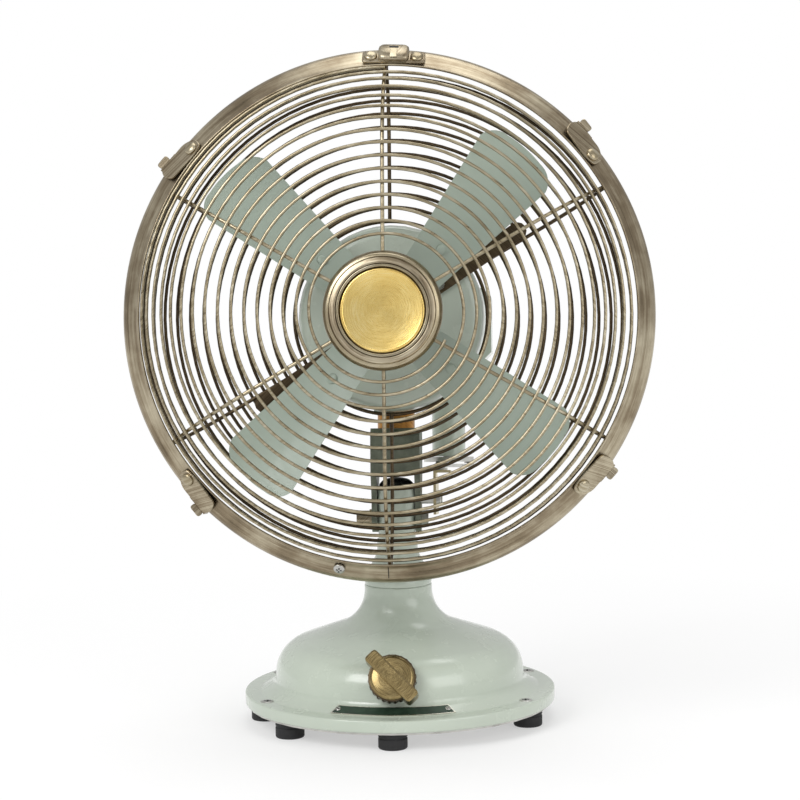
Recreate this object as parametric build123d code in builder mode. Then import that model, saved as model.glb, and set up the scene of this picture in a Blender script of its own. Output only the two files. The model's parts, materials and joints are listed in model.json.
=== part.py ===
from build123d import *
import os
from math import atan2, cos, degrees, pi, radians, sin, tan

# A retro 12 inch metal desk fan with an oscillating head. Millimetres, +Z up. The origin is on
# the floor, on the axis of the round base. The fan blows towards -Y.

os.makedirs("parts", exist_ok=True)

# ---- driving dimensions ------------------------------------------------------------------

head_pitch = 8.5             # degrees that the head looks up at rest
bolt_height = 142.0          # tilt bolt above the floor
fan_axis_height = 137.5      # fan axis above the tilt bolt, along the swivel axis
rim_forward = 95.0           # front edge of the guard in front of the swivel axis
fit_gap = 0.05               # radial clearance of a running fit

foot_height = 11.5           # floor to the underside of the bottom plate
plate_thickness = 1.5
flange_radius = 109.0
flange_thickness = 8.6
dome_radius = 87.0
dome_wall = 2.4
neck_radius = 23.6
post_radius = 14.2
post_flat = 12.8             # half the width across the flats of the post
post_top = 164.0

# ---- reference planes --------------------------------------------------------------------

pitch = radians(head_pitch)
# at the tilt bolt: local z up the swivel axis, local y backwards
yoke = Plane(origin=(0, 0, bolt_height), x_dir=(1, 0, 0), z_dir=(0, sin(pitch), cos(pitch)))
# at the tilt bolt, seen from the +X side: local x backwards, local y up the swivel axis
side_view = Plane(origin=yoke.origin, x_dir=yoke.y_dir, z_dir=yoke.x_dir)
# at the centre of the guard's front edge: local z forwards, local y up
rim_centre = yoke.from_local_coords(Vector(0, -rim_forward, fan_axis_height))
rim = Plane(origin=rim_centre, x_dir=(1, 0, 0), z_dir=-yoke.y_dir)
fan_axis = Axis(rim.origin, rim.z_dir)


def meridian_at(angle):
    """The plane through the fan axis at an angle, anticlockwise seen from the front."""
    outward = rim.x_dir * cos(radians(angle)) + rim.y_dir * sin(radians(angle))
    return Plane(origin=rim.origin, x_dir=outward, z_dir=outward.cross(rim.z_dir))


def front_view(angle, place):
    """A plane square to the fan axis at a forward position, its local x turned to an angle."""
    origin = rim.origin + rim.z_dir * place
    return Plane(origin=origin, x_dir=meridian_at(angle).x_dir, z_dir=rim.z_dir)


def arc_points(centre, radius, start, end, flats):
    """Corners of an arc set out in flats, which keeps the faces of a turned piece few."""
    steps = [start + (end - start) * i / flats for i in range(flats + 1)]
    return [(centre[0] + radius * cos(radians(a)), centre[1] + radius * sin(radians(a))) for a in steps]


def stack(plane, sides, stations, mode=Mode.ADD):
    """A turned form set out in flats: a polygon at each (height, radius), joined straight."""
    rings = []
    for height, radius in stations:
        steps = [2 * pi * i / sides for i in range(sides)]
        corners = [Vector(radius * cos(step), radius * sin(step), height) for step in steps]
        rings.append([plane.from_local_coords(corner) for corner in corners])
    faces = [Face(Wire.make_polygon(rings[0])), Face(Wire.make_polygon(rings[-1]))]
    for low, high in zip(rings, rings[1:]):
        for i in range(sides):
            j = (i + 1) % sides
            faces.append(Face(Wire.make_polygon([low[i], low[j], high[j], high[i]])))
    add(Solid(Shell(faces)), mode=mode)


def shaft(radius):
    """A pin's outline in sixteen flats, its corners on the radius."""
    RegularPolygon(radius, 16)


def bore(radius):
    """The hole for a turning pin of that radius: its flats stay clear of the pin's corners."""
    RegularPolygon(radius + fit_gap, 16, major_radius=False, mode=Mode.SUBTRACT)


def save(part, name):
    part.label = name
    export_step(part, f"parts/{name}.step")


# ==========================================================================================
# BASE
# ==========================================================================================

flange_bottom = foot_height + plate_thickness
flange_top = flange_bottom + flange_thickness
step_outer = 97.5            # foot of the sloping step that carries the nameplate
step_inner = 89.2
step_slope = 30.0
step_low = flange_top + 0.3
step_top = step_low + (step_outer - step_inner) * tan(radians(step_slope))
wall_top = 34.0              # where the dome starts to round over
shoulder_radius = 24.0
shoulder_turn = 70.0
roof_end = 41.0              # radius where the roof meets the neck's blend
neck_blend = 26.4
neck_top = 96.0
screw_circle = 101.0
screw_angles = [62, -62, 118, -118]      # from the front, positive towards +X
foot_circle = 95.0
foot_angles = [0, 72, 140, -140, -86, -50]


def around_base(radius, angle):
    return radius * sin(radians(angle)), -radius * cos(radians(angle))


shoulder_centre = (dome_radius - shoulder_radius, wall_top)
shoulder_end = arc_points(shoulder_centre, shoulder_radius, 0, shoulder_turn, 1)[1]
roof_slope = radians(90 - shoulder_turn)
roof_rise = (shoulder_end[0] - roof_end) * tan(roof_slope)
blend_centre = (
    roof_end + neck_blend * sin(roof_slope),
    shoulder_end[1] + roof_rise + neck_blend * cos(roof_slope),
)


def dome_points(inset, shoulder_flats, blend_flats):
    """Wall, shoulder, roof, blend and neck of the dome, from the flange up."""
    shoulder = arc_points(shoulder_centre, shoulder_radius - inset, 0, shoulder_turn, shoulder_flats)
    blend = arc_points(blend_centre, neck_blend + inset, 180 + shoulder_turn, 180, blend_flats)
    return shoulder + blend + [(blend[-1][0], neck_top)]


flange_bevel = 2.2
step_kerb = 2.4              # height of the last rise from the step to the dome's wall
coarse_inset = dome_wall + 1 # the hollow has fewer flats, so it stays further in
hole_gap = 0.6               # radial clearance of the spindle's hole
knob_elevation = 25.0
knob_reach = shoulder_centre[0] + shoulder_radius * cos(radians(knob_elevation))
knob_height = wall_top + shoulder_radius * sin(radians(knob_elevation))
knob_plane = Plane(
    origin=(0, -knob_reach, knob_height),
    x_dir=(1, 0, 0),
    z_dir=(0, -cos(radians(knob_elevation)), sin(radians(knob_elevation))),
)
spindle_radius = 3.0
gland_plane = Plane(origin=(0, dome_radius, 37.5), x_dir=(-1, 0, 0), z_dir=(0, 1, 0))
gland_radius = 5.0
flange_screw_radius = 2.0
flange_screw_head = 4.6
flange_screw_sink = 2.0

with BuildPart() as base_shell:
    flange_stations = [
        (flange_bottom, flange_radius),
        (flange_top - flange_bevel, flange_radius),
        (flange_top, flange_radius - flange_bevel),
        (step_low, step_outer),
        (step_top, step_inner),
        (step_top + step_kerb, dome_radius),
    ]
    stack(Plane.XY, 48, flange_stations + [(z, radius) for radius, z in dome_points(0, 4, 3)])
    inner = dome_points(coarse_inset, 2, 2)
    stations = [(flange_bottom, dome_radius - dome_wall)] + [(z, radius) for radius, z in inner]
    stack(Plane.XY, 24, stations, mode=Mode.SUBTRACT)
    with BuildSketch(knob_plane):
        RegularPolygon(spindle_radius + hole_gap, 12)
    extrude(amount=2 * coarse_inset, both=True, mode=Mode.SUBTRACT)
    with BuildSketch(gland_plane):
        RegularPolygon(gland_radius, 12)
    extrude(amount=2 * coarse_inset, both=True, mode=Mode.SUBTRACT)
    with BuildSketch(Plane.XY.offset(flange_bottom)):
        with Locations(*[around_base(screw_circle, a) for a in screw_angles]):
            RegularPolygon(flange_screw_radius, 8)
    extrude(amount=flange_thickness, mode=Mode.SUBTRACT)
    with BuildSketch(Plane.XY.offset(flange_top - flange_screw_sink)):
        with Locations(*[around_base(screw_circle, a) for a in screw_angles]):
            RegularPolygon(flange_screw_head, 10)
    extrude(amount=flange_screw_sink + 1, mode=Mode.SUBTRACT)
save(base_shell.part, "base_shell")

with BuildPart() as bottom_plate:
    with BuildSketch(Plane.XY.offset(foot_height)):
        RegularPolygon(flange_radius - 2, 36)
        with Locations(*[around_base(screw_circle, a) for a in screw_angles]):
            RegularPolygon(flange_screw_radius, 8, mode=Mode.SUBTRACT)
    extrude(amount=plate_thickness)
save(bottom_plate.part, "bottom_plate")

foot_radius = 10.0
foot_bevel = 1.6
with BuildPart() as feet:
    for angle in foot_angles:
        foot_plane = Plane(origin=(*around_base(foot_circle, angle), 0), z_dir=(0, 0, 1))
        foot_stations = [
            (0, foot_radius - foot_bevel),
            (foot_bevel, foot_radius),
            (foot_height, foot_radius),
        ]
        stack(foot_plane, 10, foot_stations)
save(feet.part, "feet")

with BuildPart() as flange_screws:
    with BuildSketch(Plane.XY.offset(foot_height)):
        with Locations(*[around_base(screw_circle, a) for a in screw_angles]):
            RegularPolygon(flange_screw_radius - 0.02, 8)
    extrude(amount=flange_top - flange_screw_sink - foot_height)
    with BuildSketch(Plane.XY.offset(flange_top - flange_screw_sink)):
        with Locations(*[around_base(screw_circle, a) for a in screw_angles]):
            RegularPolygon(flange_screw_head - 0.1, 10)
    extrude(amount=flange_screw_sink + 0.3)
save(flange_screws.part, "flange_screws")

# nameplate: a thin curved strip lying on the sloping step, centred on the front
nameplate_turn = 52.0
nameplate_thickness = 0.9
nameplate_low = step_low + 0.4
nameplate_high = step_top - 0.4
slope_normal = Vector(sin(radians(step_slope)), cos(radians(step_slope)))


def on_step(height, lift):
    """Height and radius of a point a little off the step's slope."""
    return height, step_outer - (height - step_low) / tan(radians(step_slope)) + lift / slope_normal.X


with BuildPart() as nameplate:
    face = [on_step(height, nameplate_thickness) for height in (nameplate_low, nameplate_high)]
    stack(Plane.XY, 48, face)
    back = [on_step(height, 0.02) for height in (nameplate_low - 1, nameplate_high + 1)]
    stack(Plane.XY, 48, back, mode=Mode.SUBTRACT)
    with BuildSketch(Plane.XY.offset(flange_bottom)):
        with BuildLine():
            Polyline(
                (0, 0),
                around_base(2 * step_outer, -nameplate_turn / 2),
                around_base(2 * step_outer, nameplate_turn / 2),
                close=True,
            )
        make_face()
    extrude(amount=wall_top, mode=Mode.INTERSECT)
save(nameplate.part, "nameplate")

middle_height, middle_radius = on_step((nameplate_low + nameplate_high) / 2, nameplate_thickness)
screw_inset = 2.2            # degrees from the nameplate's ends
with BuildPart() as nameplate_screws:
    for angle in (-nameplate_turn / 2 + screw_inset, nameplate_turn / 2 - screw_inset):
        outward = Vector(*around_base(1, angle))
        seat = Plane(
            origin=outward * middle_radius + Vector(0, 0, middle_height),
            z_dir=outward * slope_normal.X + Vector(0, 0, slope_normal.Y),
        )
        with BuildSketch(seat):
            RegularPolygon(1.9, 8)
        extrude(amount=0.8)
save(nameplate_screws.part, "nameplate_screws")

# rotary speed switch behind the dome, and the knob on its spindle
switch_back = -dome_wall - 9
switch_depth = 15.0
with BuildPart() as speed_switch:
    with BuildSketch(knob_plane.offset(switch_back)):
        Rectangle(24, 22)
        bore(spindle_radius)
    extrude(amount=-switch_depth)
save(speed_switch.part, "speed_switch")

knob_gap = 1.2
knob_radius = 16.5
knob_body = 8.0
knob_sides = 24
grip_length = 43.0
grip_width = 10.0
grip_front = 17.0
grip_angle = -45.0
with BuildPart() as speed_knob:
    with BuildSketch(knob_plane.offset(knob_gap)):
        RegularPolygon(knob_radius, knob_sides)
    extrude(amount=knob_body)
    with BuildSketch(knob_plane.offset(knob_gap + knob_body)):
        RegularPolygon(knob_radius - 1.4, knob_sides)
    extrude(amount=2.6, taper=45)
    with BuildSketch(knob_plane.offset(knob_gap + 2)):
        Rectangle(grip_length, grip_width, rotation=grip_angle)
    extrude(amount=grip_front - knob_gap - 2, taper=4)
    with BuildSketch(knob_plane.offset(knob_gap)):
        shaft(spindle_radius)
    extrude(amount=switch_back - switch_depth + 3 - knob_gap)
save(speed_knob.part, "speed_knob")

capacitor_place = (34, 22)
capacitor_height = 26.0
with BuildPart() as capacitor:
    with BuildSketch(Plane.XY.offset(flange_bottom)):
        with Locations(capacitor_place):
            Rectangle(38, 20)
    extrude(amount=capacitor_height)
save(capacitor.part, "capacitor")

terminal_place = (-30, 34)
terminal_base = 8.0
terminal_pitch = 9.5
with BuildPart() as terminal_block:
    with BuildSketch(Plane.XY.offset(flange_bottom)):
        with Locations(terminal_place):
            Rectangle(32, 16)
    extrude(amount=terminal_base)
    with BuildSketch(Plane.XY.offset(flange_bottom + terminal_base)):
        with Locations(terminal_place):
            with GridLocations(terminal_pitch, 0, 3, 1):
                Rectangle(6.5, 14)
    extrude(amount=5)
save(terminal_block.part, "terminal_block")

# rubber bush where the flex would enter, at the back of the dome
with BuildPart() as cable_gland:
    with BuildSketch(gland_plane.offset(0.6)):
        RegularPolygon(gland_radius + 2.6, 12)
    extrude(amount=3.4)
    with BuildSketch(gland_plane.offset(0.6)):
        RegularPolygon(gland_radius, 12)
    extrude(amount=-dome_wall - 2)
    with BuildSketch(gland_plane.offset(5)):
        RegularPolygon(2.6, 8)
    extrude(amount=-20, mode=Mode.SUBTRACT)
save(cable_gland.part, "cable_gland")

# hollow post that the fork straddles, spigoted into the neck, with a black cap on top
post_bore = 9.0
bolt_radius = 3.0
flare_top = 122.0
flare_height = flare_top - neck_top
flare_step = neck_radius - post_radius
flare_stations = [
    (neck_top + flare_height * i / 4, post_radius + flare_step * (1 + cos(pi * i / 4)) / 2)
    for i in range(5)
]
spigot_depth = 8.0
flat_bottom = 127.0          # where the flats under the fork's ears start
post_bevel = 1.5
with BuildPart() as neck_post:
    post_stations = [(post_top - post_bevel, post_radius), (post_top, post_radius - post_bevel)]
    stack(Plane.XY, 28, flare_stations + post_stations)
    with BuildSketch(Plane.XY.offset(neck_top)):
        RegularPolygon(neck_radius - dome_wall - 2, 24)
    extrude(amount=-spigot_depth)
    with BuildSketch(Plane.XY.offset(neck_top - spigot_depth)):
        RegularPolygon(post_bore, 16)
    extrude(amount=post_top, mode=Mode.SUBTRACT)
    with Locations((post_flat + 5, 0, post_top), (-post_flat - 5, 0, post_top)):
        Box(10, 3 * post_radius, 2 * (post_top - flat_bottom), mode=Mode.SUBTRACT)
    with BuildSketch(Plane.YZ):
        with Locations((0, bolt_height)):
            shaft(bolt_radius)
    extrude(amount=2 * post_radius, both=True, mode=Mode.SUBTRACT)
save(neck_post.part, "neck_post")

cap_radius = 12.0
cap_stations = [
    (post_top, cap_radius),
    (post_top + 1.4, cap_radius),
    (post_top + 4.4, cap_radius - 2.4),
    (post_top + 6.2, cap_radius - 6),
]
with BuildPart() as neck_cap:
    stack(Plane.XY, 24, cap_stations)
    with BuildSketch(Plane.XY.offset(post_top)):
        RegularPolygon(post_bore, 16)
    extrude(amount=-5)
save(neck_cap.part, "neck_cap")

# tilt bolt through fork and post, its head on +X and a round nut on -X
ear_inner = 13.2
ear_outer = 17.2
bolt_plane = Plane(origin=(0, 0, bolt_height), x_dir=(0, 1, 0), z_dir=(1, 0, 0))
nut_start = ear_outer + 0.3
nut_length = 10.6
with BuildPart() as tilt_bolt:
    with BuildSketch(bolt_plane.offset(-nut_start - nut_length + 1.5)):
        shaft(bolt_radius)
    extrude(amount=2 * nut_start + nut_length - 1.5)
    with BuildSketch(bolt_plane.offset(nut_start)):
        RegularPolygon(5.6, 6)
    extrude(amount=4.6)
save(tilt_bolt.part, "tilt_bolt")

with BuildPart() as tilt_nut:
    with BuildSketch(bolt_plane.offset(-nut_start)):
        RegularPolygon(6.2, 16)
        bore(bolt_radius)
    extrude(amount=-1.6)
    with BuildSketch(bolt_plane.offset(-nut_start - 1.6)):
        RegularPolygon(5.2, 16)
        bore(bolt_radius)
    extrude(amount=1.6 - nut_length)
save(tilt_nut.part, "tilt_nut")

# ==========================================================================================
# YOKE: fork casting, swivel collar, anchor plate of the oscillating link
# ==========================================================================================

casting_bottom = 31.0        # heights above the tilt bolt
casting_top = 62.5
casting_half_depth = 19.0
ear_end = 10.0
stud_radius = 6.0
stud_bottom = 36.0
motor_radius = 64.0
collar_radius = 13.0
collar_top = fan_axis_height - motor_radius - 0.3

with BuildPart() as tilt_yoke:
    with BuildSketch(side_view.offset(-ear_outer)):
        with BuildLine():
            Polyline(
                (ear_end, 0),
                (ear_end, 14),
                (casting_half_depth, casting_bottom),
                (casting_half_depth, casting_top - 3),
                (casting_half_depth - 3, casting_top),
                (5 - casting_half_depth, casting_top),
                (-casting_half_depth, casting_top - 5),
                (-casting_half_depth, casting_bottom),
                (-ear_end, 14),
                (-ear_end, 0),
            )
            ThreePointArc((-ear_end, 0), (0, -ear_end), (ear_end, 0))
        make_face()
    extrude(amount=2 * ear_outer)
    with BuildSketch(side_view.offset(-ear_inner)):
        with Locations((0, casting_bottom)):
            Rectangle(60, 90, align=(Align.CENTER, Align.MAX))
    extrude(amount=2 * ear_inner, mode=Mode.SUBTRACT)
    with BuildSketch(side_view.offset(-ear_outer - 1)):
        RegularPolygon(bolt_radius + fit_gap, 16, major_radius=False)
    extrude(amount=2 * ear_outer + 2, mode=Mode.SUBTRACT)
    with BuildSketch(yoke.offset(stud_bottom)):
        RegularPolygon(stud_radius + fit_gap, 16, major_radius=False)
    extrude(amount=casting_top, mode=Mode.SUBTRACT)
save(tilt_yoke.part, "tilt_yoke")

with BuildPart() as swivel_collar:
    with BuildSketch(yoke.offset(casting_top)):
        RegularPolygon(collar_radius, 24)
        bore(stud_radius)
    extrude(amount=collar_top - casting_top)
save(swivel_collar.part, "swivel_collar")

# zinc plated plate on the +X ear, with its top folded outwards for the link's pivot
anchor_x = 26.0
anchor_thickness = 1.8
shelf_height = 33.0
shelf_end = 38.0
link_pivot = (31.5, 2.0)
pivot_radius = 2.5
anchor_holes = [(-2, 13), (28, 13)]
with BuildPart() as anchor_plate:
    with BuildSketch(side_view.offset(anchor_x)):
        with BuildLine():
            Polyline((-8, 2), (-8, shelf_height), (12, shelf_height), (38, 22), (38, 2), close=True)
        make_face()
        with Locations(*anchor_holes):
            RegularPolygon(2, 8, mode=Mode.SUBTRACT)
    extrude(amount=anchor_thickness)
    with BuildSketch(yoke.offset(shelf_height)):
        with Locations(((anchor_x + shelf_end) / 2, 2)):
            Rectangle(shelf_end - anchor_x, 20)
        with Locations(link_pivot):
            RegularPolygon(pivot_radius, 16, mode=Mode.SUBTRACT)
    extrude(amount=-anchor_thickness)
save(anchor_plate.part, "anchor_plate")

with BuildPart() as anchor_screws:
    with BuildSketch(side_view.offset(ear_outer)):
        with Locations(anchor_holes[0]):
            RegularPolygon(3.4, 8)
    extrude(amount=anchor_x - ear_outer)
    with BuildSketch(side_view.offset(anchor_x - 3)):
        with Locations(anchor_holes[1]):
            RegularPolygon(4, 6)
    extrude(amount=3)
    with BuildSketch(side_view.offset(anchor_x)):
        with Locations(*anchor_holes):
            RegularPolygon(1.98, 8)
    extrude(amount=anchor_thickness)
    with BuildSketch(side_view.offset(anchor_x + anchor_thickness)):
        with Locations(*anchor_holes):
            RegularPolygon(5.6, 12)
    extrude(amount=1.4)
    with BuildSketch(side_view.offset(anchor_x + anchor_thickness + 1.4)):
        with Locations(*anchor_holes):
            RegularPolygon(4, 12)
    extrude(amount=1.6)
save(anchor_screws.part, "anchor_screws")

link_height = 35.0
link_thickness = 2.4
link_top = link_height + link_thickness
with BuildPart() as link_pin:
    with BuildSketch(yoke.offset(shelf_height - anchor_thickness)):
        with Locations(link_pivot):
            shaft(pivot_radius)
    extrude(amount=link_top + 0.3 - shelf_height + anchor_thickness)
    with BuildSketch(yoke.offset(link_top + 0.3)):
        with Locations(link_pivot):
            RegularPolygon(4.2, 12)
    extrude(amount=1.6)
    with BuildSketch(yoke.offset(shelf_height)):
        with Locations(link_pivot):
            RegularPolygon(4.2, 12)
    extrude(amount=link_height - 0.3 - shelf_height)
save(link_pin.part, "link_pin")

# ==========================================================================================
# OSCILLATING DRIVE
# ==========================================================================================

# the crank shaft stands behind the motor, parallel to the swivel axis; while the head swings
# 30 degrees each way, the crank makes half a turn
crank_centre = Vector(34.0, 70.0)
crank_arm = 14.5
crank_radius = 18.0
crank_height = 39.0
crank_thickness = 3.6
crank_shaft_radius = 4.0
pivot_point = Vector(*link_pivot)
link_line = crank_centre - pivot_point
# at rest the crank pin stands square to the link, half way through its stroke
pin_direction = Vector(link_line.Y, -link_line.X).normalized()
crank_pin = crank_centre + pin_direction * crank_arm
link_reach = crank_pin - pivot_point
link_turn = degrees(atan2(link_reach.Y, link_reach.X))

with BuildPart() as drive_link:
    with BuildSketch(yoke.offset(link_height)):
        middle = (pivot_point + crank_pin) / 2
        with Locations((middle.X, middle.Y)):
            SlotCenterToCenter(link_reach.length, 9, rotation=link_turn)
        with Locations(link_pivot):
            bore(pivot_radius)
        with Locations((crank_pin.X, crank_pin.Y)):
            RegularPolygon(2.6, 10, mode=Mode.SUBTRACT)
    extrude(amount=link_thickness)
save(drive_link.part, "drive_link")

wheel_bottom = fan_axis_height - 4
with BuildPart() as crank_disc:
    with BuildSketch(yoke.offset(crank_height)):
        with Locations((crank_centre.X, crank_centre.Y)):
            RegularPolygon(crank_radius, 24)
    extrude(amount=crank_thickness)
    with BuildSketch(yoke.offset(crank_height + crank_thickness)):
        with Locations((crank_centre.X, crank_centre.Y)):
            shaft(crank_shaft_radius)
    extrude(amount=wheel_bottom - crank_height - crank_thickness)
    with BuildSketch(yoke.offset(wheel_bottom)):
        with Locations((crank_centre.X, crank_centre.Y)):
            RegularPolygon(15, 20)
    extrude(amount=8)
    # the crank pin stops short of the link: this is where the linkage is opened
    with BuildSketch(yoke.offset(crank_height)):
        with Locations((crank_pin.X, crank_pin.Y)):
            RegularPolygon(3.4, 12)
    extrude(amount=link_top + 0.5 - crank_height)
save(crank_disc.part, "crank_disc")

# ==========================================================================================
# MOTOR AND GEAR CASE
# ==========================================================================================

motor_face = -39.5           # places along the fan axis are measured forwards from the rim
motor_wall = 1.8
shell_joint = -86.0
rear_end = -146.0
bearing_radius = 9.0
bearing_length = 12.0
shaft_radius = 4.0
slot_radius = 52.0
slot_turn = 41.0
slot_width = 7.0

with BuildPart() as motor_front_shell:
    corner = arc_points((motor_radius - 9, motor_face - 9), 9, 0, 90, 3)
    stack(rim, 40, [(shell_joint, motor_radius)] + [(place, radius) for radius, place in corner])
    inner_stations = [
        (shell_joint, motor_radius - motor_wall),
        (motor_face - 9, motor_radius - motor_wall),
        (motor_face - motor_wall, motor_radius - 9),
    ]
    stack(rim, 20, inner_stations, mode=Mode.SUBTRACT)
    with BuildSketch(rim.offset(motor_face)):
        RegularPolygon(bearing_radius + 4, 16)
    extrude(amount=-bearing_length)
    with BuildSketch(rim.offset(motor_face)):
        RegularPolygon(bearing_radius, 16)
    extrude(amount=-bearing_length, mode=Mode.SUBTRACT)
    with BuildSketch(rim.offset(motor_face + 1)):
        for quarter in range(4):
            slot_middle = CenterArc(
                (0, 0), slot_radius, 90 * quarter - slot_turn / 2, slot_turn, mode=Mode.PRIVATE
            )
            SlotArc(slot_middle, slot_width)
    extrude(amount=-6, mode=Mode.SUBTRACT)
save(motor_front_shell.part, "motor_front_shell")

with BuildPart() as motor_rear_shell:
    bulge = arc_points((motor_radius - 26, -119), 26, -62, 0, 3)
    rear_joint = shell_joint - 0.3
    rear_stations = [(rear_end, bulge[0][0] - 8)] + [(place, radius) for radius, place in bulge]
    stack(rim, 40, rear_stations + [(rear_joint, motor_radius)])
    inner_stations = [
        (rear_end + 3, 38),
        (-119, motor_radius - motor_wall),
        (rear_joint, motor_radius - motor_wall),
    ]
    stack(rim, 20, inner_stations, mode=Mode.SUBTRACT)
    with BuildSketch(rim.offset(rear_end)):
        RegularPolygon(bearing_radius + 4, 16)
    extrude(amount=bearing_length + 2)
    with BuildSketch(rim.offset(rear_end)):
        RegularPolygon(bearing_radius, 16)
    extrude(amount=bearing_length + 2, mode=Mode.SUBTRACT)
    # pad for the swivel stud under the shell, bored for it
    with BuildSketch(yoke.offset(collar_top + 0.3)):
        with Locations((0, 5)):
            Rectangle(30, 26)
    extrude(amount=7)
    with BuildSketch(yoke.offset(casting_top)):
        shaft(stud_radius)
    extrude(amount=24, mode=Mode.SUBTRACT)
save(motor_rear_shell.part, "motor_rear_shell")

with BuildPart() as swivel_stud:
    with BuildSketch(yoke.offset(stud_bottom + 0.5)):
        shaft(stud_radius)
    extrude(amount=collar_top + 7.3 - stud_bottom - 0.5)
save(swivel_stud.part, "swivel_stud")

stator_back = -106.0
stator_length = 26.0
stator_bore = 29.0
with BuildPart() as stator_core:
    with BuildSketch(rim.offset(stator_back)):
        RegularPolygon(motor_radius - motor_wall - 0.8, 20)
        RegularPolygon(50, 20, mode=Mode.SUBTRACT)
        with PolarLocations((stator_bore + 53) / 2, 6, start_angle=30):
            Rectangle(53 - stator_bore, 9)
        RegularPolygon(stator_bore, 20, mode=Mode.SUBTRACT)
    extrude(amount=stator_length)
    with BuildSketch(yoke.offset(collar_top)):
        Rectangle(40, 44)
    extrude(amount=8, mode=Mode.SUBTRACT)
save(stator_core.part, "stator_core")

with BuildPart() as stator_coils:
    with BuildSketch(rim.offset(stator_back - 5)):
        with PolarLocations(40.5, 6, start_angle=30):
            Rectangle(12, 18)
            Rectangle(40, 9, mode=Mode.SUBTRACT)
    extrude(amount=stator_length + 10)
save(stator_coils.part, "stator_coils")

with BuildPart() as motor_bearings:
    for start in (motor_face - bearing_length, rear_end + 1):
        with BuildSketch(rim.offset(start)):
            RegularPolygon(bearing_radius, 16)
            bore(shaft_radius)
        extrude(amount=bearing_length)
save(motor_bearings.part, "motor_bearings")

# gear case behind the motor: worm on the fan's axis, wheel on the crank shaft's axis
case_left = -20.0
case_right = 66.0
case_front = rear_end
case_depth = 38.0
case_half_height = 26.0
case_wall = 3.0
crank_boss = 12.0
worm_radius = 6.6
boss_bottom = crank_height + crank_thickness + 0.4
case_middle = (case_left + case_right) / 2
crank_back = -crank_centre.Y - rim_forward


def case_outline(inset):
    with Locations((case_middle, 0)):
        Rectangle(case_right - case_left - 2 * inset, 2 * case_half_height - 2 * inset)


with BuildPart() as gear_case:
    with BuildSketch(rim.offset(case_front)):
        case_outline(0)
    extrude(amount=-case_depth)
    chamfer(gear_case.edges().filter_by(fan_axis), 6)
    with BuildSketch(yoke.offset(boss_bottom)):
        with Locations((crank_centre.X, crank_centre.Y)):
            RegularPolygon(crank_boss, 16)
    extrude(amount=fan_axis_height - case_half_height + 2 - boss_bottom)
    with BuildSketch(rim.offset(case_front - case_wall)):
        case_outline(case_wall)
    extrude(amount=-case_depth, mode=Mode.SUBTRACT)
    with BuildSketch(rim.offset(case_front)):
        RegularPolygon(worm_radius + 1, 12)
    extrude(amount=-case_wall - 1, mode=Mode.SUBTRACT)
    with BuildSketch(yoke.offset(boss_bottom)):
        with Locations((crank_centre.X, crank_centre.Y)):
            RegularPolygon(crank_shaft_radius + fit_gap, 16, major_radius=False)
    extrude(amount=200, mode=Mode.SUBTRACT)
save(gear_case.part, "gear_case")

with BuildPart() as gear_cover:
    with BuildSketch(rim.offset(case_front - case_depth)):
        case_outline(1)
    extrude(amount=-2.4)
    chamfer(gear_cover.edges().filter_by(fan_axis), 5.5)
    with BuildSketch(rim.offset(case_front - case_depth - 2.4)):
        with Locations((case_middle, 0)):
            with GridLocations(case_right - case_left - 18, 2 * case_half_height - 18, 2, 2):
                RegularPolygon(3.2, 8)
    extrude(amount=-1.8)
save(gear_cover.part, "gear_cover")

# the knob's pin turns and slides in the same bore as the crank shaft, above the wheel
knob_seat = fan_axis_height + case_half_height
with BuildPart() as oscillation_knob:
    with BuildSketch(yoke.offset(fan_axis_height + 8)):
        with Locations((crank_centre.X, crank_centre.Y)):
            shaft(crank_shaft_radius)
    extrude(amount=case_half_height + 4)
    with BuildSketch(yoke.offset(knob_seat + 4)):
        with Locations((crank_centre.X, crank_centre.Y)):
            RegularPolygon(5.5, 16)
    extrude(amount=8)
    with BuildSketch(yoke.offset(knob_seat + 12)):
        with Locations((crank_centre.X, crank_centre.Y)):
            RegularPolygon(8, 16)
    extrude(amount=6)
save(oscillation_knob.part, "oscillation_knob")

# ==========================================================================================
# ROTOR
# ==========================================================================================

with BuildPart() as rotor_core:
    with BuildSketch(rim.offset(stator_back)):
        RegularPolygon(stator_bore - 1.6, 20)
        RegularPolygon(shaft_radius, 16, mode=Mode.SUBTRACT)
    extrude(amount=stator_length)
save(rotor_core.part, "rotor_core")

shaft_front = 17.0
shaft_back = crank_back - 12
with BuildPart() as rotor_shaft:
    with BuildSketch(rim.offset(shaft_back)):
        shaft(shaft_radius)
    extrude(amount=shaft_front - shaft_back)
    with BuildSketch(rim.offset(crank_back - 11)):
        RegularPolygon(worm_radius, 16)
    extrude(amount=22)
save(rotor_shaft.part, "rotor_shaft")

blade_count = 4
blade_phase = 49.5
blade_plane = 3.0            # middle of the blades, in front of the rim
blade_pitch = 27.0
blade_gauge = 1.2
blade_root = 27.0
blade_tip = 144.5
tip_corner = 13.0
root_width = 30.0            # seen from the front, at root_station
root_station = 40.0
wide_width = 51.5
wide_station = 122.0
arm_reach = 65.0
hub_radius = 15.0
hub_back = -14.0
hub_front = 10.0
camber_radius = 150.0
rivet_circle = 56.5


def blade_frame(angle):
    """A plane square to a blade: local x along its chord, local y out of its front."""
    spoke = meridian_at(angle)
    across = rim.z_dir.cross(spoke.x_dir)
    chord = across * cos(radians(blade_pitch)) + rim.z_dir * sin(radians(blade_pitch))
    return Plane(origin=rim.origin + rim.z_dir * blade_plane, x_dir=chord, z_dir=spoke.x_dir)


def half_width(radius):
    rate = (wide_width - root_width) / (wide_station - root_station)
    return (root_width + (radius - root_station) * rate) / 2


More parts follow.
